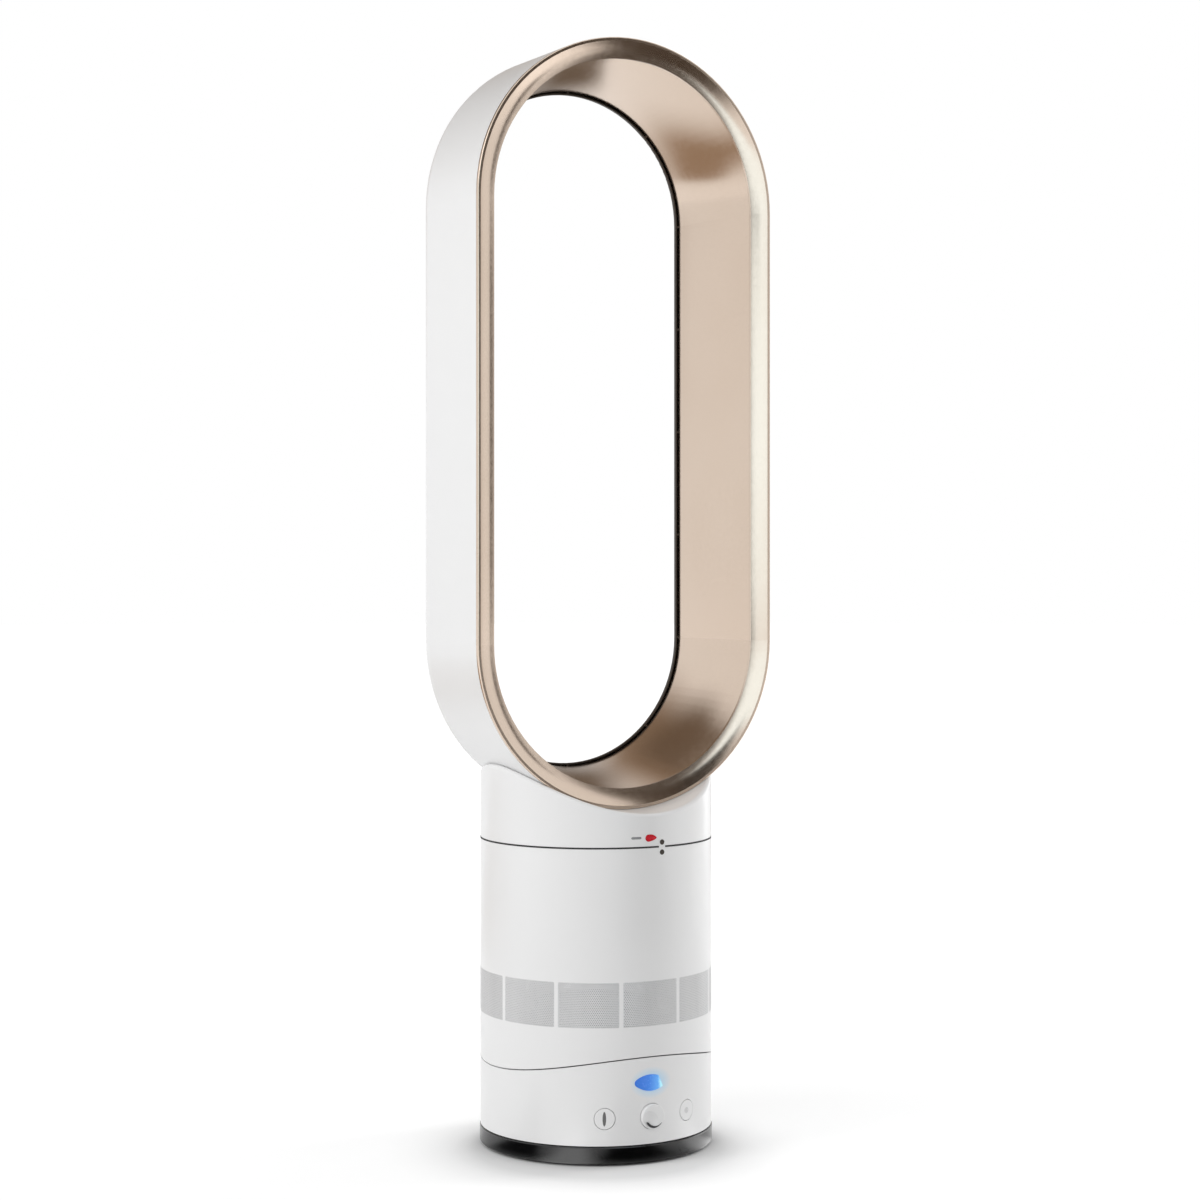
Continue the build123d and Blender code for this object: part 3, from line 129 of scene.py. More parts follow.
class Nodes:
    """Small wrapper that builds one material from procedural nodes."""

    def __init__(self, name):
        self.material = bpy.data.materials.new(name)
        self.material.use_nodes = True
        self.tree = self.material.node_tree
        self.shader = self.tree.nodes["Principled BSDF"]
        self.output = self.tree.nodes["Material Output"]

    def add(self, kind, **settings):
        node = self.tree.nodes.new(kind)
        for key, value in settings.items():
            setattr(node, key, value)
        return node

    def link(self, source, target):
        self.tree.links.new(source, target)

    def place(self, stretch=(1, 1, 1), offset=(0, 0, 0)):
        """Position on the object itself, stretched along each axis."""
        mapping = self.add("ShaderNodeMapping")
        mapping.inputs["Scale"].default_value = stretch
        mapping.inputs["Location"].default_value = offset
        coordinate = self.add("ShaderNodeTexCoord")
        self.link(coordinate.outputs["Object"], mapping.inputs["Vector"])
        return mapping.outputs["Vector"]

    def noise(self, size, detail=2.0, stretch=(1, 1, 1)):
        """Noise whose blotches are about the given size in metres."""
        noise = self.add("ShaderNodeTexNoise")
        noise.inputs["Scale"].default_value = 1 / size
        noise.inputs["Detail"].default_value = detail
        self.link(self.place(stretch), noise.inputs["Vector"])
        return noise.outputs["Fac"]

    def cells(self, size, feature="F1", stretch=(1, 1, 1)):
        """Distance field of random cells of about the given size in metres."""
        cells = self.add("ShaderNodeTexVoronoi", feature=feature)
        cells.inputs["Scale"].default_value = 1 / size
        self.link(self.place(stretch), cells.inputs["Vector"])
        return cells.outputs["Distance"]

    def bands(self, size, direction):
        """Regular parallel bands at the given spacing in metres."""
        wave = self.add("ShaderNodeTexWave", bands_direction=direction)
        wave.inputs["Scale"].default_value = wave_period / size
        self.link(self.place(), wave.inputs["Vector"])
        return wave.outputs["Fac"]

    def remap(self, value, start, end, low=0.35, high=0.65):
        """Carries a value between low and high over to the range start to end."""
        remap = self.add("ShaderNodeMapRange")
        remap.inputs["From Min"].default_value = low
        remap.inputs["From Max"].default_value = high
        remap.inputs["To Min"].default_value = start
        remap.inputs["To Max"].default_value = end
        self.link(value, remap.inputs["Value"])
        return remap.outputs["Result"]

    def ramp(self, value, *stops):
        """Colour ramp through stops of a position and a colour."""
        ramp = self.add("ShaderNodeValToRGB")
        elements = ramp.color_ramp.elements
        while len(elements) < len(stops):
            elements.new(1.0)
        for element, (position, color) in zip(elements, stops):
            element.position = position
            element.color = (*color, 1)
        self.link(value, ramp.inputs["Fac"])
        return ramp.outputs["Color"]

    def bump(self, height, depth, strength=1.0):
        """Fine relief of the given depth in metres."""
        bump = self.add("ShaderNodeBump")
        bump.inputs["Strength"].default_value = strength
        bump.inputs["Distance"].default_value = depth
        self.link(height, bump.inputs["Height"])
        self.link(bump.outputs["Normal"], self.shader.inputs["Normal"])

    def color(self, source):
        self.link(source, self.shader.inputs["Base Color"])

    def two_tone(self, value, first, second, low=0.3, high=0.7):
        """Base colour that drifts between two colours."""
        self.color(self.ramp(value, (low, first), (high, second)))

    def rough(self, source):
        self.link(source, self.shader.inputs["Roughness"])

    def fixed(self, **values):
        """Constant values, set on the shader's own sockets."""
        for key, value in values.items():
            self.shader.inputs[key.replace("_", " ")].default_value = value


def shade(color, factor):
    """The colour made darker or lighter, without clipping."""
    return tuple(min(channel * factor, 1) for channel in color)


# ================================================================ materials
def moulded_plastic(name, color, roughness, grain, depth, variation=0.04, coat=0.0):
    """Injection-moulded plastic: faint tone drift, uneven gloss and a fine surface texture."""
    nodes = Nodes(name)
    tone = nodes.noise(60 * MM, 3)
    nodes.two_tone(tone, shade(color, 1 - variation), shade(color, 1 + variation))
    nodes.rough(nodes.remap(nodes.noise(40 * MM, 3), roughness * 0.95, roughness * 1.06))
    nodes.bump(nodes.noise(grain, 3), depth)
    nodes.fixed(Coat_Weight=coat, Coat_Roughness=0.08)
    return nodes


def white_gloss(name="white_gloss"):
    """Glossy white of the shells."""
    return moulded_plastic(name, white, 0.3, 0.5 * MM, 0.0006 * MM, 0.004, 0.25)


def control_white():
    """The same white, with a painted glow: the blue light of the lens painted into the colour of the
    shell round it.
    """
    nodes = white_gloss("white_gloss_lit")
    middle = (lens_low + lens_high) / 2 + Vector((glow_shift, 0, 0))
    spread = (lens_high - lens_low) / 2 + Vector((glow_margin, 0, glow_margin))
    stretch = (1 / spread.x, 1 / spread.x, 1 / spread.z)
    offset = tuple(-place * scale for place, scale in zip(middle, stretch))
    reach = nodes.add("ShaderNodeVectorMath", operation="LENGTH")
    nodes.link(nodes.place(stretch, offset), reach.inputs[0])
    glow = nodes.remap(reach.outputs["Value"], glow_strength, 0.0, glow_core, 1.0)
    mix = nodes.add("ShaderNodeMix", data_type="RGBA")
    nodes.link(glow, mix.inputs["Factor"])
    plain = nodes.shader.inputs["Base Color"].links[0].from_socket
    nodes.link(plain, mix.inputs["A"])
    mix.inputs["B"].default_value = (*glow_tint, 1)
    nodes.color(mix.outputs["Result"])
    return nodes


def satin_metallic():
    """Champagne paint: metal flake under a thin satin lacquer."""
    nodes = Nodes("champagne")
    flake = nodes.cells(0.35 * MM)
    drift = nodes.noise(80 * MM, 2)
    base = nodes.ramp(flake, (0.0, shade(champagne, 1.05)), (0.8, shade(champagne, 0.93)))
    mix = nodes.add("ShaderNodeMix", data_type="RGBA", blend_type="MULTIPLY")
    mix.inputs["Factor"].default_value = 1.0
    nodes.link(base, mix.inputs["A"])
    nodes.link(nodes.ramp(drift, (0.3, (0.97, 0.96, 0.95)), (0.7, (1, 1, 1))), mix.inputs["B"])
    nodes.color(mix.outputs["Result"])
    nodes.rough(nodes.remap(nodes.noise(3 * MM, 4), 0.15, 0.18))
    nodes.bump(flake, 0.002 * MM)
    nodes.fixed(Metallic=1.0)
    return nodes


def black_gloss():
    """Polished black plastic with a faint drift of tone and gloss."""
    nodes = Nodes("black_gloss")
    smear = nodes.noise(40 * MM, 3, (1, 1, 3))
    nodes.two_tone(smear, (0.002, 0.002, 0.002), (0.004, 0.004, 0.0045))
    nodes.rough(nodes.remap(smear, 0.14, 0.18))
    nodes.bump(nodes.noise(2.5 * MM, 2), 0.0005 * MM)
    nodes.fixed(Specular_IOR_Level=0.65)
    return nodes


def perforated_grey():
    """Painted sheet steel of the inlet."""
    nodes = Nodes("mesh_grey")
    tone = nodes.noise(18 * MM, 2, (1, 1, 0.1))
    nodes.two_tone(tone, (0.62, 0.62, 0.625), (0.69, 0.69, 0.695))
    nodes.rough(nodes.remap(nodes.noise(2 * MM, 3), 0.38, 0.5))
    nodes.bump(nodes.noise(0.4 * MM, 2), 0.01 * MM)
    nodes.fixed(Metallic=0.25)
    return nodes


def machined_steel(name, color, roughness, along):
    """Turned or drawn metal whose fine lines run along the given axis."""
    nodes = Nodes(name)
    stretch = tuple(0.06 if axis == along else 1 for axis in "xyz")
    lines = nodes.noise(0.35 * MM, 3, stretch)
    nodes.two_tone(lines, shade(color, 0.86), shade(color, 1.08))
    nodes.rough(nodes.remap(lines, roughness * 0.8, roughness * 1.25))
    nodes.bump(lines, 0.008 * MM)
    nodes.fixed(Metallic=1.0)
    return nodes


def cast_metal(name, color, roughness, metallic):
    """Cast or sintered metal with a coarse skin."""
    nodes = Nodes(name)
    skin = nodes.noise(1.1 * MM, 5)
    nodes.two_tone(skin, shade(color, 0.75), shade(color, 1.2))
    nodes.rough(nodes.remap(skin, roughness * 0.85, roughness * 1.15))
    nodes.bump(skin, 0.06 * MM)
    nodes.fixed(Metallic=metallic)
    return nodes


def rubber():
    """Dull black rubber with a trace of dust."""
    nodes = Nodes("rubber_black")
    dust = nodes.noise(5 * MM, 5)
    nodes.two_tone(dust, (0.018, 0.018, 0.019), (0.045, 0.044, 0.043), 0.35, 0.75)
    nodes.rough(nodes.remap(dust, 0.7, 0.9))
    nodes.bump(nodes.noise(0.5 * MM, 3), 0.03 * MM)
    return nodes


def circuit_board():
    """Green solder resist with lighter tracks under it."""
    nodes = Nodes("circuit_green")
    tracks = nodes.add("ShaderNodeTexBrick", offset=0.37, squash=1.6, squash_frequency=3)
    tracks.inputs["Scale"].default_value = 160
    tracks.inputs["Mortar Size"].default_value = 0.09
    tracks.inputs["Color1"].default_value = (0.008, 0.075, 0.028, 1)
    tracks.inputs["Color2"].default_value = (0.010, 0.090, 0.034, 1)
    tracks.inputs["Mortar"].default_value = (0.03, 0.19, 0.08, 1)
    nodes.link(nodes.place(), tracks.inputs["Vector"])
    nodes.color(tracks.outputs["Color"])
    nodes.rough(nodes.remap(nodes.noise(3 * MM, 3), 0.28, 0.42))
    nodes.bump(tracks.outputs["Fac"], 0.03 * MM)
    return nodes


def lit_blue():
    """Blue lens lit from its right end."""
    nodes = Nodes("blue_lens")
    coordinate = nodes.add("ShaderNodeSeparateXYZ")
    nodes.link(nodes.place(), coordinate.inputs["Vector"])
    along = nodes.remap(coordinate.outputs["X"], 0, 1, lens_low.x, lens_high.x)
    grain = nodes.noise(1.4 * MM, 3)
    blend = nodes.add("ShaderNodeMath", operation="MULTIPLY_ADD")
    nodes.link(grain, blend.inputs[0])
    blend.inputs[1].default_value = 0.12
    nodes.link(along, blend.inputs[2])
    light = nodes.ramp(
        blend.outputs["Value"],
        (0.05, (0.020, 0.135, 0.56)),
        (0.55, (0.040, 0.19, 0.66)),
        (0.88, (0.11, 0.36, 0.82)),
        (1.05, (0.45, 0.85, 1.0)),
    )
    nodes.color(light)
    nodes.link(light, nodes.shader.inputs["Emission Color"])
    nodes.rough(nodes.remap(grain, 0.18, 0.28))
    nodes.bump(grain, 0.01 * MM)
    nodes.fixed(Emission_Strength=0.34)
    return nodes


def red_lens():
    """Clear red plastic over a dark ground."""
    nodes = Nodes("red_lens")
    depth = nodes.noise(1.2 * MM, 3)
    nodes.two_tone(depth, (0.52, 0.006, 0.018), (0.70, 0.018, 0.035))
    nodes.rough(nodes.remap(depth, 0.15, 0.25))
    nodes.bump(depth, 0.01 * MM)
    nodes.fixed(Coat_Weight=0.3)
    return nodes


def clear_acrylic():
    """Clear light guide with faint flow lines."""
    nodes = Nodes("clear_guide")
    flow = nodes.noise(3 * MM, 2)
    nodes.two_tone(flow, (0.86, 0.93, 0.97), (0.95, 0.98, 1.0))
    nodes.rough(nodes.remap(flow, 0.08, 0.18))
    nodes.bump(flow, 0.01 * MM)
    nodes.fixed(Transmission_Weight=0.85, IOR=1.49)
    return nodes


def wound_copper():
    """Enamelled wire laid in close turns."""
    nodes = Nodes("copper_winding")
    wires = nodes.bands(0.5 * MM, "Z")
    nodes.two_tone(wires, (0.16, 0.045, 0.018), (0.62, 0.24, 0.10), 0.0, 0.6)
    nodes.rough(nodes.remap(nodes.noise(1 * MM, 3), 0.25, 0.38))
    nodes.bump(wires, 0.15 * MM)
    nodes.fixed(Metallic=0.9)
    return nodes


def open_foam():
    """Grey foam with open pores."""
    nodes = Nodes("foam_grey")
    pores = nodes.cells(1.3 * MM)
    nodes.two_tone(pores, (0.03, 0.03, 0.032), (0.15, 0.15, 0.155), 0.05)
    nodes.rough(nodes.remap(pores, 0.85, 0.98))
    nodes.bump(pores, 0.6 * MM)
    nodes.fixed(Sheen_Weight=0.3)
    return nodes


def print_and_painted_shade(name, color):
    """Flat colour on the plastic: printed ink for the marks, and a painted shade for the dark crescent
    on the dial.
    """
    nodes = Nodes(name)
    mark_paint = nodes.noise(0.7 * MM, 4)
    nodes.two_tone(mark_paint, shade(color, 0.9), shade(color, 1.12))
    nodes.rough(nodes.remap(mark_paint, 0.4, 0.55))
    nodes.bump(mark_paint, 0.004 * MM)
    return nodes


white = (0.83, 0.83, 0.83)
champagne = (0.70, 0.575, 0.475)
# colour of the painted glow round the lens
glow_tint = (0.45, 0.74, 0.98)

finishes = {
    "white_gloss": white_gloss(),
    "white_moving": moulded_plastic("white_moving", white, 0.32, 0.5 * MM, 0.0008 * MM, 0.005, 0.2),
    "black_gloss": black_gloss(),
    "champagne": satin_metallic(),
    "slot_black": moulded_plastic("slot_black", (0.036, 0.026, 0.018), 0.35, 0.8 * MM, 0.01 * MM, 0.15),
    "mesh_grey": perforated_grey(),
    "rubber_black": rubber(),
    "steel": machined_steel("steel", (0.56, 0.56, 0.57), 0.3, "x"),
    "zinc_screw": machined_steel("zinc_screw", (0.62, 0.63, 0.66), 0.35, "y"),
    "ballast_iron": cast_metal("ballast_iron", (0.10, 0.10, 0.105), 0.6, 0.7),
    "natural_nylon": moulded_plastic(
        "natural_nylon", (0.74, 0.70, 0.60), 0.45, 1.0 * MM, 0.01 * MM, 0.05,
    ),
    "white_inner": moulded_plastic("white_inner", (0.70, 0.70, 0.70), 0.48, 0.7 * MM, 0.015 * MM, 0.03),
    "grey_inner": moulded_plastic("grey_inner", (0.10, 0.104, 0.11), 0.45, 0.7 * MM, 0.02 * MM, 0.1),
    "circuit_green": circuit_board(),
    "led_white": moulded_plastic("led_white", (0.85, 0.88, 0.70), 0.25, 0.9 * MM, 0.004 * MM, 0.05),
    "blue_lens": lit_blue(),
    "red_lens": red_lens(),
    "clear_guide": clear_acrylic(),
    "copper_winding": wound_copper(),
    "motor_aluminium": cast_metal("motor_aluminium", (0.60, 0.60, 0.62), 0.42, 1.0),
    "magnet_black": cast_metal("magnet_black", (0.06, 0.06, 0.065), 0.5, 0.6),
    "foam_grey": open_foam(),
    "dark_bush": moulded_plastic("dark_bush", (0.02, 0.02, 0.021), 0.4, 0.8 * MM, 0.015 * MM, 0.15),
}
ink_grey = print_and_painted_shade("ink_grey", (0.25, 0.255, 0.26))
# dark colour of the painted shade on the dial, not a print
crescent_painted_shade = print_and_painted_shade("crescent_painted_shade", (0.035, 0.035, 0.037))
ink_soft = print_and_painted_shade("ink_soft", (0.13, 0.13, 0.13))
ink_faint = print_and_painted_shade("ink_faint", (0.66, 0.66, 0.66))

for part in frame["record"]["subparts"]:
    cad_nodes[part["node"]].material_slots[0].material = finishes[part["material_slot"]].material
cad_nodes["control_shell"].material_slots[0].material = control_white().material


# ================================================================ added pieces
def mesh_object(name, points, faces, material):
    """Flat-shaded mesh in the scene, in one material."""
    mesh = bpy.data.meshes.new(name)
    mesh.from_pydata(points, [], faces)
    mesh.validate()
    mesh.materials.append(material)
    piece = bpy.data.objects.new(name, mesh)
    bpy.context.scene.collection.objects.link(piece)
    return piece


def on_body(angle, radius, height):
    """Point at a distance from the body axis, in the direction of an angle from the front."""
    return Vector((radius * math.sin(angle), -radius * math.cos(angle), height))


class Sheet:
    """Points and faces of a thin sheet laid round the body."""

    def __init__(self):
        self.points = []
        self.faces = []

    def add(self, angle, radius, height):
        self.points.append(on_body(angle, radius, height))
        return len(self.points) - 1

    def strip(self, first, second):
        """Faces between two lines of points."""
        self.faces += zip(first, first[1:], second[1:], second)

    def hole(self, angle, radius, height):
        """Corners of one small hole."""
        corners = []
        for turn in hole_corners:
            across = hole_radius * math.cos(math.radians(turn))
            rise = hole_radius * math.sin(math.radians(turn))
            corners.append(self.add(angle + across / radius, radius, height + rise))
        return corners

    def pierced_row(self, columns, radius, height, below, above, start):
        """Cells between two lines of points, each with a hole in its middle."""
        if start:
            self.faces.append((below[0], below[1], above[1], above[0]))
        for cell in range(start, len(columns) - 2, 2):
            outline = below[cell:cell + 3] + above[cell:cell + 3][::-1]
            hole = self.hole(columns[cell + 1], radius, height)
            for side in range(6):
                after = (side + 1) % 6
                self.faces.append((outline[side], outline[after], hole[after], hole[side]))
        if start:
            self.faces.append((below[-2], below[-1], above[-1], above[-2]))

    def window(self, columns, levels, face, root):
        """Pierced panel with its rim; gives the lines of points along its four root edges."""
        grid = [[self.add(angle, face, level) for angle in columns] for level in levels]
        for row in range(len(levels) - 1):
            height = (levels[row] + levels[row + 1]) / 2
            self.pierced_row(columns, face, height, grid[row], grid[row + 1], row % 2)
        foot = [self.add(angle, root, levels[0]) for angle in columns]
        head = [self.add(angle, root, levels[-1]) for angle in columns]
        self.strip(foot, grid[0])
        self.strip(grid[-1], head)
        left, right = (
            [foot[end]] + [self.add(columns[end], root, level) for level in levels[1:-1]] + [head[end]]
            for end in (0, -1)
        )
        self.strip([row[0] for row in grid], left)
        self.strip(right, [row[-1] for row in grid])
        return foot, head, left, right


def perforated_band():
    """Thin sheet round the body, pressed out into the windows and pierced there with fine holes."""
    face = body_radius - mesh_face
    root = face - mesh_step
    half = window_pitch / 2 - (window_bar / 2 + mesh_gap) / body_radius
    low = window_low + mesh_gap
    high = window_high - mesh_gap
    steps = 4 * round(half * face / hole_pitch)
    rows = round((high - low) / (hole_pitch * hex_row))
    levels = [low + (high - low) * row / rows for row in range(rows + 1)]
    sheet = Sheet()
    windows = []
    for window in range(-windows_each_side, windows_each_side + 1):
        middle = window * window_pitch
        columns = [middle - half + 2 * half * step / steps for step in range(steps + 1)]
        windows.append(sheet.window(columns, levels, face, root))
    for (_, _, _, right), (_, _, left, _) in zip(windows, windows[1:] + windows[:1]):
        sheet.strip(right, left)
    for edge, height in ((0, mesh_low.z), (1, mesh_high.z)):
        line = [point for window in windows for point in window[edge]]
        places = [sheet.points[point] for point in line]
        rim = [sheet.add(math.atan2(place.x, -place.y), root, height) for place in places]
        line += line[:1]
        rim += rim[:1]
        if height > low:
            sheet.strip(line, rim)
        else:
            sheet.strip(rim, line)
    band = mesh_object("inlet_grille", sheet.points, sheet.faces, finishes["mesh_grey"].material)
    thick = band.modifiers.new("thickness", "SOLIDIFY")
    thick.thickness = mesh_thickness
    thick.offset = 1
    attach(band, "upper_body")
    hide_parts("inlet_mesh")


def seam_shade_lip():
    """Dark T-shaped lip that lays a painted shade along the seam, lapping a little over the shells,
    open where the white tab lies between the pins.
    """
    bottom = seam_top - seam_line
    back = body_radius - lip_depth
    face = body_radius + lip_clear
    front = face + lip_thickness
    profile = (
        (back, bottom + lip_gap), (face, bottom + lip_gap),
        (face, bottom - lip_lap), (front, bottom - lip_lap),
        (front, seam_top + lip_lap), (face, seam_top + lip_lap),
        (face, seam_top - lip_gap), (back, seam_top - lip_gap),
    )
    start = tab_angle + tab_half_width / body_radius
    corners = len(profile)
    points = []
    for side in range(lip_sides + 1):
        angle = start + (2 * math.pi - 2 * tab_half_width / body_radius) * side / lip_sides
        points += [on_body(angle, radius, height) for radius, height in profile]
    last = corners * lip_sides
    faces = [tuple(range(corners)), tuple(last + corner for corner in reversed(range(corners)))]
    for side in range(lip_sides):
        here = corners * side
        for corner in range(corners):
            after = (corner + 1) % corners
            faces.append((here + corner, here + corners + corner, here + corners + after, here + after))
    lip = mesh_object("seam_shade_lip", points, faces, finishes["rubber_black"].material)
    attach(lip, "upper_body")


def inlay(name, body, mark_paint, place, ribbon):
    """Thin mark, printed ink for most and a painted shade on the dial: a ribbon of point pairs, which
    place puts on the surface.
    """
    points = []
    for depth in (mark_thickness, -mark_thickness):
        for pair in ribbon:
            points += [place(across, up, depth) for across, up in pair]
    count = len(ribbon)
    back = 2 * count
    faces = []
    for a in range(0, 2 * count - 2, 2):
        faces.append((a, a + 2, a + 3, a + 1))
        faces.append((back + a, back + a + 1, back + a + 3, back + a + 2))
        faces.append((a, back + a, back + a + 2, a + 2))
        faces.append((a + 1, a + 3, back + a + 3, back + a + 1))
    last = 2 * (count - 1)
    faces.append((0, 1, back + 1, back))
    faces.append((last, back + last, back + last + 1, last + 1))
    mark = mesh_object(name, points, faces, mark_paint.material)
    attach(mark, body)


def on_cylinder(radius, angle, height):
    """Puts a mark's own sizes on an upright round wall."""
    def place(across, up, depth):
        return on_body(angle + across / radius, radius + depth, height + up)
    return place


def on_front(face_y, height):
    """Puts a mark's own sizes on a flat face at the front."""
    def place(across, up, depth):
        return Vector((across, face_y - depth, height + up))
    return place


def rounded_bar(length, width, steps=12):
    """Ribbon of a bar with round ends."""
    blunt = 0.04
    cap = width / 2
    straight = length / 2 - cap
    ends = []
    for step in range(steps + 1):
        turn = math.pi / 2 * (blunt + (1 - blunt) * step / steps)
        ends.append((straight + cap * math.cos(turn), cap * math.sin(turn)))
    columns = [(-across, half) for across, half in ends] + ends[::-1]
    return [((across, -half), (across, half)) for across, half in columns]


def pointed_bar(height, width, steps=14):
    """Ribbon of an upright bar that swells in its middle."""
    reach = 0.98
    ribbon = []
    for step in range(-steps, steps + 1):
        share = reach * step / steps
        top = height / 2 * math.sqrt(1 - share * share)
        across = width / 2 * share
        ribbon.append(((across, -top), (across, top)))
    return ribbon


def crescent(radius, width, start, end, steps=28):
    """Ribbon along the lower edge of a disc, blunt at its start and thin at its end: the painted shade
    on the dial's face.
    """
    drawn_in = 0.12
    blunt_start = 0.45
    thin_end = 0.08
    ribbon = []
    for step in range(steps + 1):
        share = step / steps
        turn = math.radians(start + (end - start) * share)
        outer = radius * (1 - drawn_in + drawn_in * min(1, 2 * share))
        opening = min(1, blunt_start + 5 * share)
        closing = min(1, thin_end + 1.7 * (1 - share))
        inner = outer - width * opening * closing
        ribbon.append(tuple((r * math.cos(turn), r * math.sin(turn)) for r in (outer, inner)))
    return ribbon


perforated_band()
seam_shade_lip()
inlay(
    "seam_dash", "upper_body", ink_grey,
    on_cylinder(body_radius, dash_angle, seam_top + dash_rise),
    rounded_bar(dash_length, dash_width),
)
inlay(
    "power_mark", "power_key", ink_soft,
    on_cylinder(
        body_radius + key_proud,
        outward_angle("power_button") + power_bar_shift / body_radius, middle_height("power_button"),
    ),
    pointed_bar(power_bar_height, power_bar_width),
)
inlay(
    "swing_mark", "oscillation_key", ink_faint,
    on_cylinder(
        body_radius + key_proud,
        outward_angle("oscillation_button"), middle_height("oscillation_button"),
    ),
    rounded_bar(2 * swing_mark_radius, 2 * swing_mark_radius),
)
# painted shade: a dark crescent laid on the lower edge of the dial's face where its shadow falls
inlay(
    "dial_crescent_painted_shade", "dial", crescent_painted_shade,
    on_front(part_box("speed_dial")[0].y, middle_height("speed_dial")),
    crescent(crescent_radius, crescent_width, crescent_start, crescent_end),
)


# ================================================================ stage, light and camera
def studio_floor():
    """Large pale disc whose rings widen outwards, lifted to white for the camera and for gloss, with a
    painted contact shadow round the foot where the lift falls away.
    """
    rings = [floor_first_ring * floor_growth ** ring for ring in range(floor_rings)]
    sides = floor_sides
    points = [(0, 0, 0)]
    for radius in rings:
        for side in range(sides):
            turn = 2 * math.pi * side / sides
            points.append((radius * math.cos(turn), radius * math.sin(turn), 0))
    faces = [(0, 1 + side, 1 + (side + 1) % sides) for side in range(sides)]
    for ring in range(len(rings) - 1):
        first = 1 + ring * sides
        for side in range(sides):
            after = (side + 1) % sides
            faces.append((first + side, first + sides + side, first + sides + after, first + after))
    nodes = Nodes("floor_white")
    nodes.two_tone(nodes.noise(0.3, 3), (0.84, 0.84, 0.84), (0.86, 0.86, 0.86))
    nodes.rough(nodes.remap(nodes.noise(0.05, 3), 0.6, 0.7))
    nodes.fixed(Specular_IOR_Level=0.0, Emission_Color=(1, 1, 1, 1))
    # emission by distance from a point a little in front of the foot: low near the foot, a painted
    # shadow; white further out
    away = nodes.add("ShaderNodeVectorMath", operation="LENGTH")
    share = 1 / floor_reach
    nodes.link(nodes.place((share, share, 0), -shade_shift * share), away.inputs[0])
    stops = [(radius * share, (level, level, level)) for radius, level in floor_lift_and_painted_shadow]
    lift_and_painted_shadow = nodes.add("ShaderNodeMath", operation="MULTIPLY")
    nodes.link(nodes.ramp(away.outputs["Value"], *stops), lift_and_painted_shadow.inputs[0])
    nodes.link(seen_directly(nodes), lift_and_painted_shadow.inputs[1])
    nodes.link(lift_and_painted_shadow.outputs["Value"], nodes.shader.inputs["Emission Strength"])
    floor = mesh_object("studio_floor", points, faces, nodes.material)


def seen_directly(nodes):
    """1 for rays from the camera, from gloss and through glass, 0 for the light on surfaces."""
    path = nodes.add("ShaderNodeLightPath")
    either = nodes.add("ShaderNodeMath", operation="MAXIMUM")
    nodes.link(path.outputs["Is Camera Ray"], either.inputs[0])
    nodes.link(path.outputs["Is Glossy Ray"], either.inputs[1])
    any_of = nodes.add("ShaderNodeMath", operation="MAXIMUM")
    nodes.link(either.outputs["Value"], any_of.inputs[0])
    nodes.link(path.outputs["Is Transmission Ray"], any_of.inputs[1])
    return any_of.outputs["Value"]


class WorldNodes(Nodes):
    """The same tools on the node tree of the world."""

    def __init__(self, name):
        self.world = bpy.data.worlds.new(name)
        self.world.use_nodes = True
        self.tree = self.world.node_tree


def white_world():
    """White for the camera and for mirror images, at a softer level for the light on surfaces."""
    nodes = WorldNodes("studio_white")
    background = nodes.tree.nodes["Background"]
    background.inputs["Color"].default_value = (1, 1, 1, 1)
    strength = nodes.remap(seen_directly(nodes), room_light, 1.0, 0.0, 1.0)
    nodes.link(strength, background.inputs["Strength"])
    bpy.context.scene.world = nodes.world


def softbox(name, azimuth, height, distance, width, length, power, mirrored):
    """Area lamp round the fan, aimed at its middle."""
    target = Vector((0, 0, lamp_target))
    place = on_body(math.radians(azimuth), distance, height)
    lamp = bpy.data.lights.new(name, "AREA")
    lamp.shape = "RECTANGLE"
    lamp.size = width
    lamp.size_y = length
    lamp.energy = power
    lamp_object = bpy.data.objects.new(name, lamp)
    lamp_object.visible_glossy = mirrored
    lamp_object.location = place
    lamp_object.rotation_euler = (target - place).to_track_quat("-Z", "Y").to_euler()
    bpy.context.scene.collection.objects.link(lamp_object)


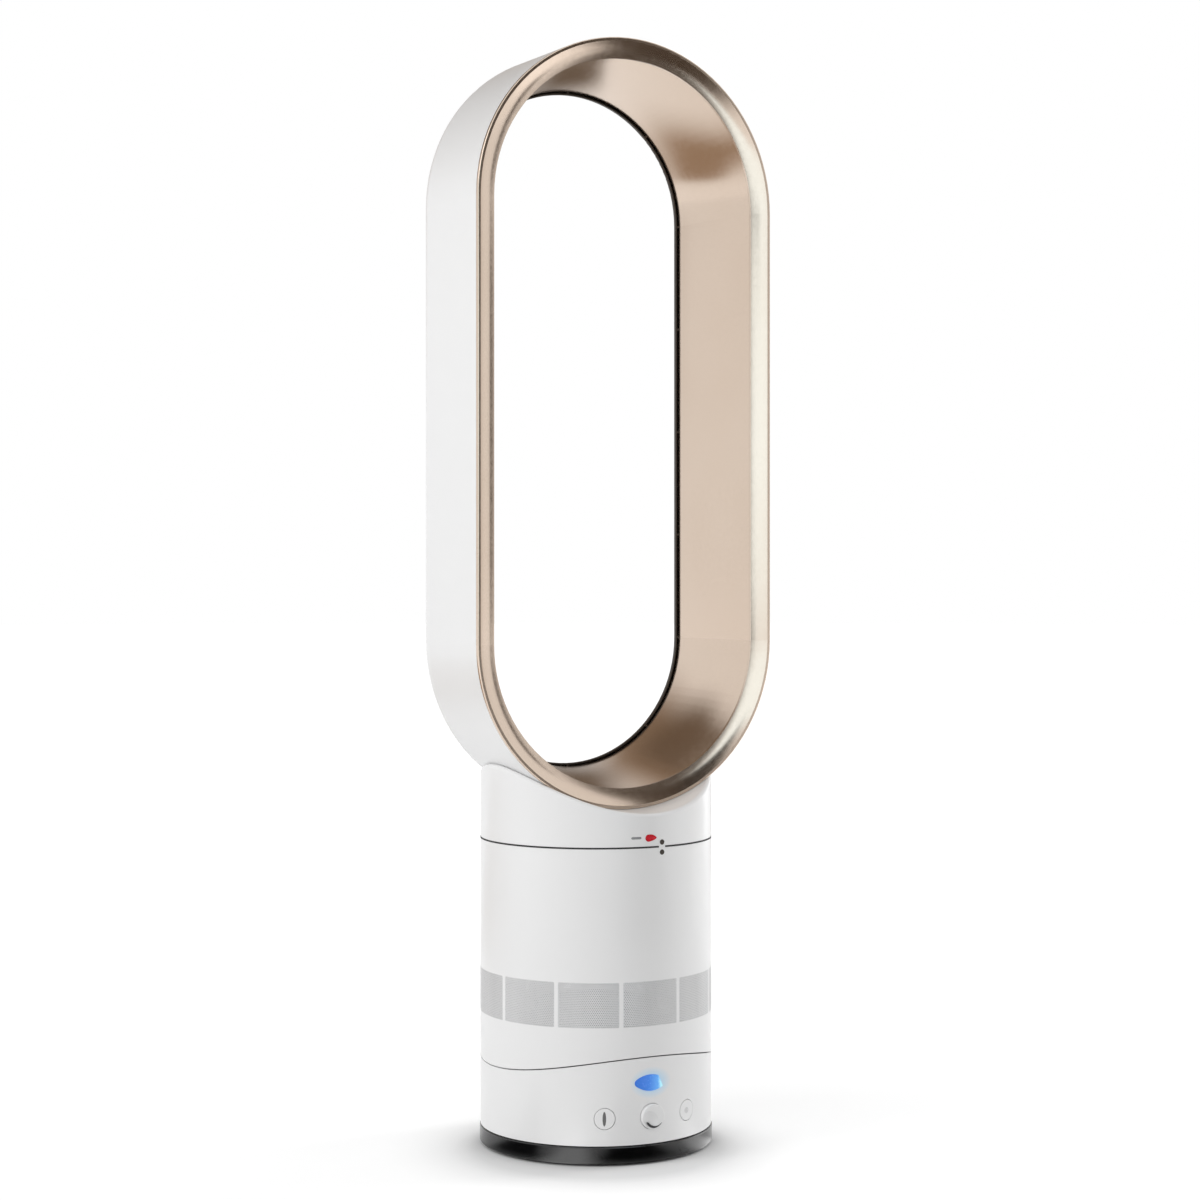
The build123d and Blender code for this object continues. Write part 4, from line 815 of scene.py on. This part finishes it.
def card(name, azimuth, height, distance, width, length, tone, edges, tint, lying):
    """Card that only polished surfaces see, and that fades out over the given shares of its halves."""
    turn = math.radians(azimuth)
    across = on_body(turn + math.pi / 2, width / 2, 0)
    along = on_body(turn, length / 2, 0) if lying else Vector((0, 0, length / 2))
    steps = range(-card_steps, card_steps + 1)
    row = len(steps)
    points = [(a / card_steps, b / card_steps, 0) for b in steps for a in steps]
    faces = [
        (b * row + a, b * row + a + 1, (b + 1) * row + a + 1, (b + 1) * row + a)
        for b in range(row - 1) for a in range(row - 1)
    ]
    nodes = Nodes(name)
    weave = nodes.noise(0.05, 3)
    nodes.two_tone(weave, (0.0, 0.0, 0.0), (0.01, 0.01, 0.01))
    nodes.rough(nodes.remap(weave, 0.8, 0.95))
    nodes.fixed(Specular_IOR_Level=0.0, Emission_Color=(*tint, 1), Emission_Strength=tone)
    axes = nodes.add("ShaderNodeSeparateXYZ")
    nodes.link(nodes.place(), axes.inputs["Vector"])
    fades = []
    for axis, edge in zip("XY", edges):
        away = nodes.add("ShaderNodeMath", operation="ABSOLUTE")
        nodes.link(axes.outputs[axis], away.inputs[0])
        fade = nodes.remap(away.outputs["Value"], 1.0, 0.0, 1 - edge, 1.0)
        fade.node.interpolation_type = "SMOOTHSTEP"
        fades.append(fade)
    cover = nodes.add("ShaderNodeMath", operation="MULTIPLY")
    nodes.link(fades[0], cover.inputs[0])
    nodes.link(fades[1], cover.inputs[1])
    nodes.link(cover.outputs["Value"], nodes.shader.inputs["Alpha"])
    flag = mesh_object(name, points, faces, nodes.material)
    stand = Matrix((across, along, across.cross(along).normalized())).transposed().to_4x4()
    stand.translation = on_body(turn, distance, height)
    flag.matrix_world = stand
    flag.visible_camera = False
    flag.visible_diffuse = False
    flag.visible_transmission = False
    flag.visible_shadow = False


dark_tint = (1.0, 0.72, 0.5)
light_tint = (0.79, 0.925, 1.0)
plain_tint = (1.0, 1.0, 1.0)
card_steps = 4
room_light = 0.58
lamp_target = 0.36
floor_reach = 5.0
floor_first_ring = 0.15
floor_growth = 1.5
floor_rings = 12
floor_sides = 64
# distance in metres and emission added for the camera and gloss: near the foot it falls to nothing, a
# painted contact shadow; further out it lifts the floor to white
floor_lift_and_painted_shadow = (
    (0.076, 0.0), (0.088, 0.10), (0.096, 0.18), (0.106, 0.235), (0.118, 0.29), (0.135, 0.33),
    (0.25, 0.34), (0.55, 0.37), (1.2, 0.46), (2.4, 0.56), (5.0, 0.62),
)
# moves the middle of the painted shadow a little towards the front left
shade_shift = on_body(math.radians(-25), 0.025, 0)

# name, azimuth in degrees, height, distance, width, length, power, seen in gloss
lamps = (
    ("key_left", -90, 0.9, 1.9, 0.9, 1.5, 13, False),
    ("fill_front", -50, 1.7, 2.4, 1.4, 1.0, 7, True),
    ("key_right", 86, 0.58, 1.7, 0.5, 1.5, 12.5, False),
)

# name, azimuth in degrees, height, distance, width, length, brightness, edges, tint, lying
cards = (
    ("light_front", -0.6, 0.71, 2.28, 1.69, 1.0, 1.78, (0.33, 0.2), light_tint, False),
    ("dark_front", 25.4, 0.95, 1.34, 0.46, 2.07, 0.07, (0.4, 0.45), dark_tint, False),
    ("dark_front_high", 14, 1.46, 1.96, 1.5, 1.2, 0.03, (0.6, 0.12), dark_tint, False),
    ("dark_front_low", 18.8, 0.015, 1.75, 1.66, 1.98, 0.07, (0.6, 0.14), dark_tint, True),
    ("dark_corner_high", 14.5, 1.6, 3.0, 0.77, 1.2, 0.08, (0.5, 0.3), dark_tint, False),
    ("dark_corner_low", 14.5, 0.1, 3.0, 0.77, 0.3, 0.08, (0.5, 0.5), dark_tint, False),
    ("dark_right", 46.3, 0.62, 3.0, 0.4, 0.95, 0.05, (0.3, 0.3), dark_tint, False),
    ("dark_side", 82, 0.5, 1.3, 0.6, 1.1, 0.42, (0.8, 0.5), dark_tint, False),
    ("light_right", 112, 0.4, 1.6, 0.66, 1.0, 2.3, (0.5, 0.4), plain_tint, False),
    ("light_floor_right", 55, 0.016, 2.7, 1.3, 3.0, 1.4, (0.6, 0.4), plain_tint, True),
    ("dark_back_right", 145.2, 0.42, 1.44, 0.85, 1.6, 0.15, (0.9, 0.8), dark_tint, False),
    ("dark_back_high", -168.4, 1.47, 1.2, 1.78, 1.53, 0.17, (0.64, 0.75), dark_tint, False),
    ("dark_back_wide", 174.9, 1.53, 1.45, 2.3, 2.17, 0.3, (0.78, 0.53), dark_tint, False),
    ("dark_back_low", -141.9, 0.014, 1.72, 1.7, 2.5, 0.4, (0.76, 0.5), dark_tint, True),
    ("dark_foot_front", -3, 0.001, 0.18, 0.1, 0.22, 0.0, (0.5, 0.2), dark_tint, True),
    ("light_foot_front", -43, 0.001, 0.12, 0.065, 0.1, 2.2, (0.8, 0.2), plain_tint, True),
    ("light_foot_right", 46, 0.001, 0.12, 0.062, 0.1, 2.0, (0.8, 0.2), plain_tint, True),
    ("dark_foot_left", -80, 0.001, 0.18, 0.075, 0.22, 0.0, (0.5, 0.2), dark_tint, True),
)

camera_azimuth = -28.0
camera_distance = 1.6623
camera_aside = 0.0027
camera_height = 0.3792
focal_length = 76.55
frame_lift = -0.0355
sensor_width = 36
near_clip = 0.05


def photo_camera():
    """Level camera at the front left, with the framing of the photograph."""
    turn = math.radians(camera_azimuth)
    lens = bpy.data.cameras.new("camera")
    lens.sensor_width = sensor_width
    lens.lens = focal_length
    lens.shift_y = frame_lift
    lens.clip_start = near_clip
    camera = bpy.data.objects.new("camera", lens)
    right = Vector((math.cos(turn), math.sin(turn), 0))
    camera.location = on_body(turn, camera_distance, camera_height) + camera_aside * right
    camera.rotation_euler = (math.pi / 2, 0, turn)
    bpy.context.scene.collection.objects.link(camera)
    bpy.context.scene.camera = camera


bpy.context.scene.view_settings.view_transform = "Standard"
white_world()
studio_floor()
for row in lamps:
    softbox(*row)
for row in cards:
    card(*row)
photo_camera()
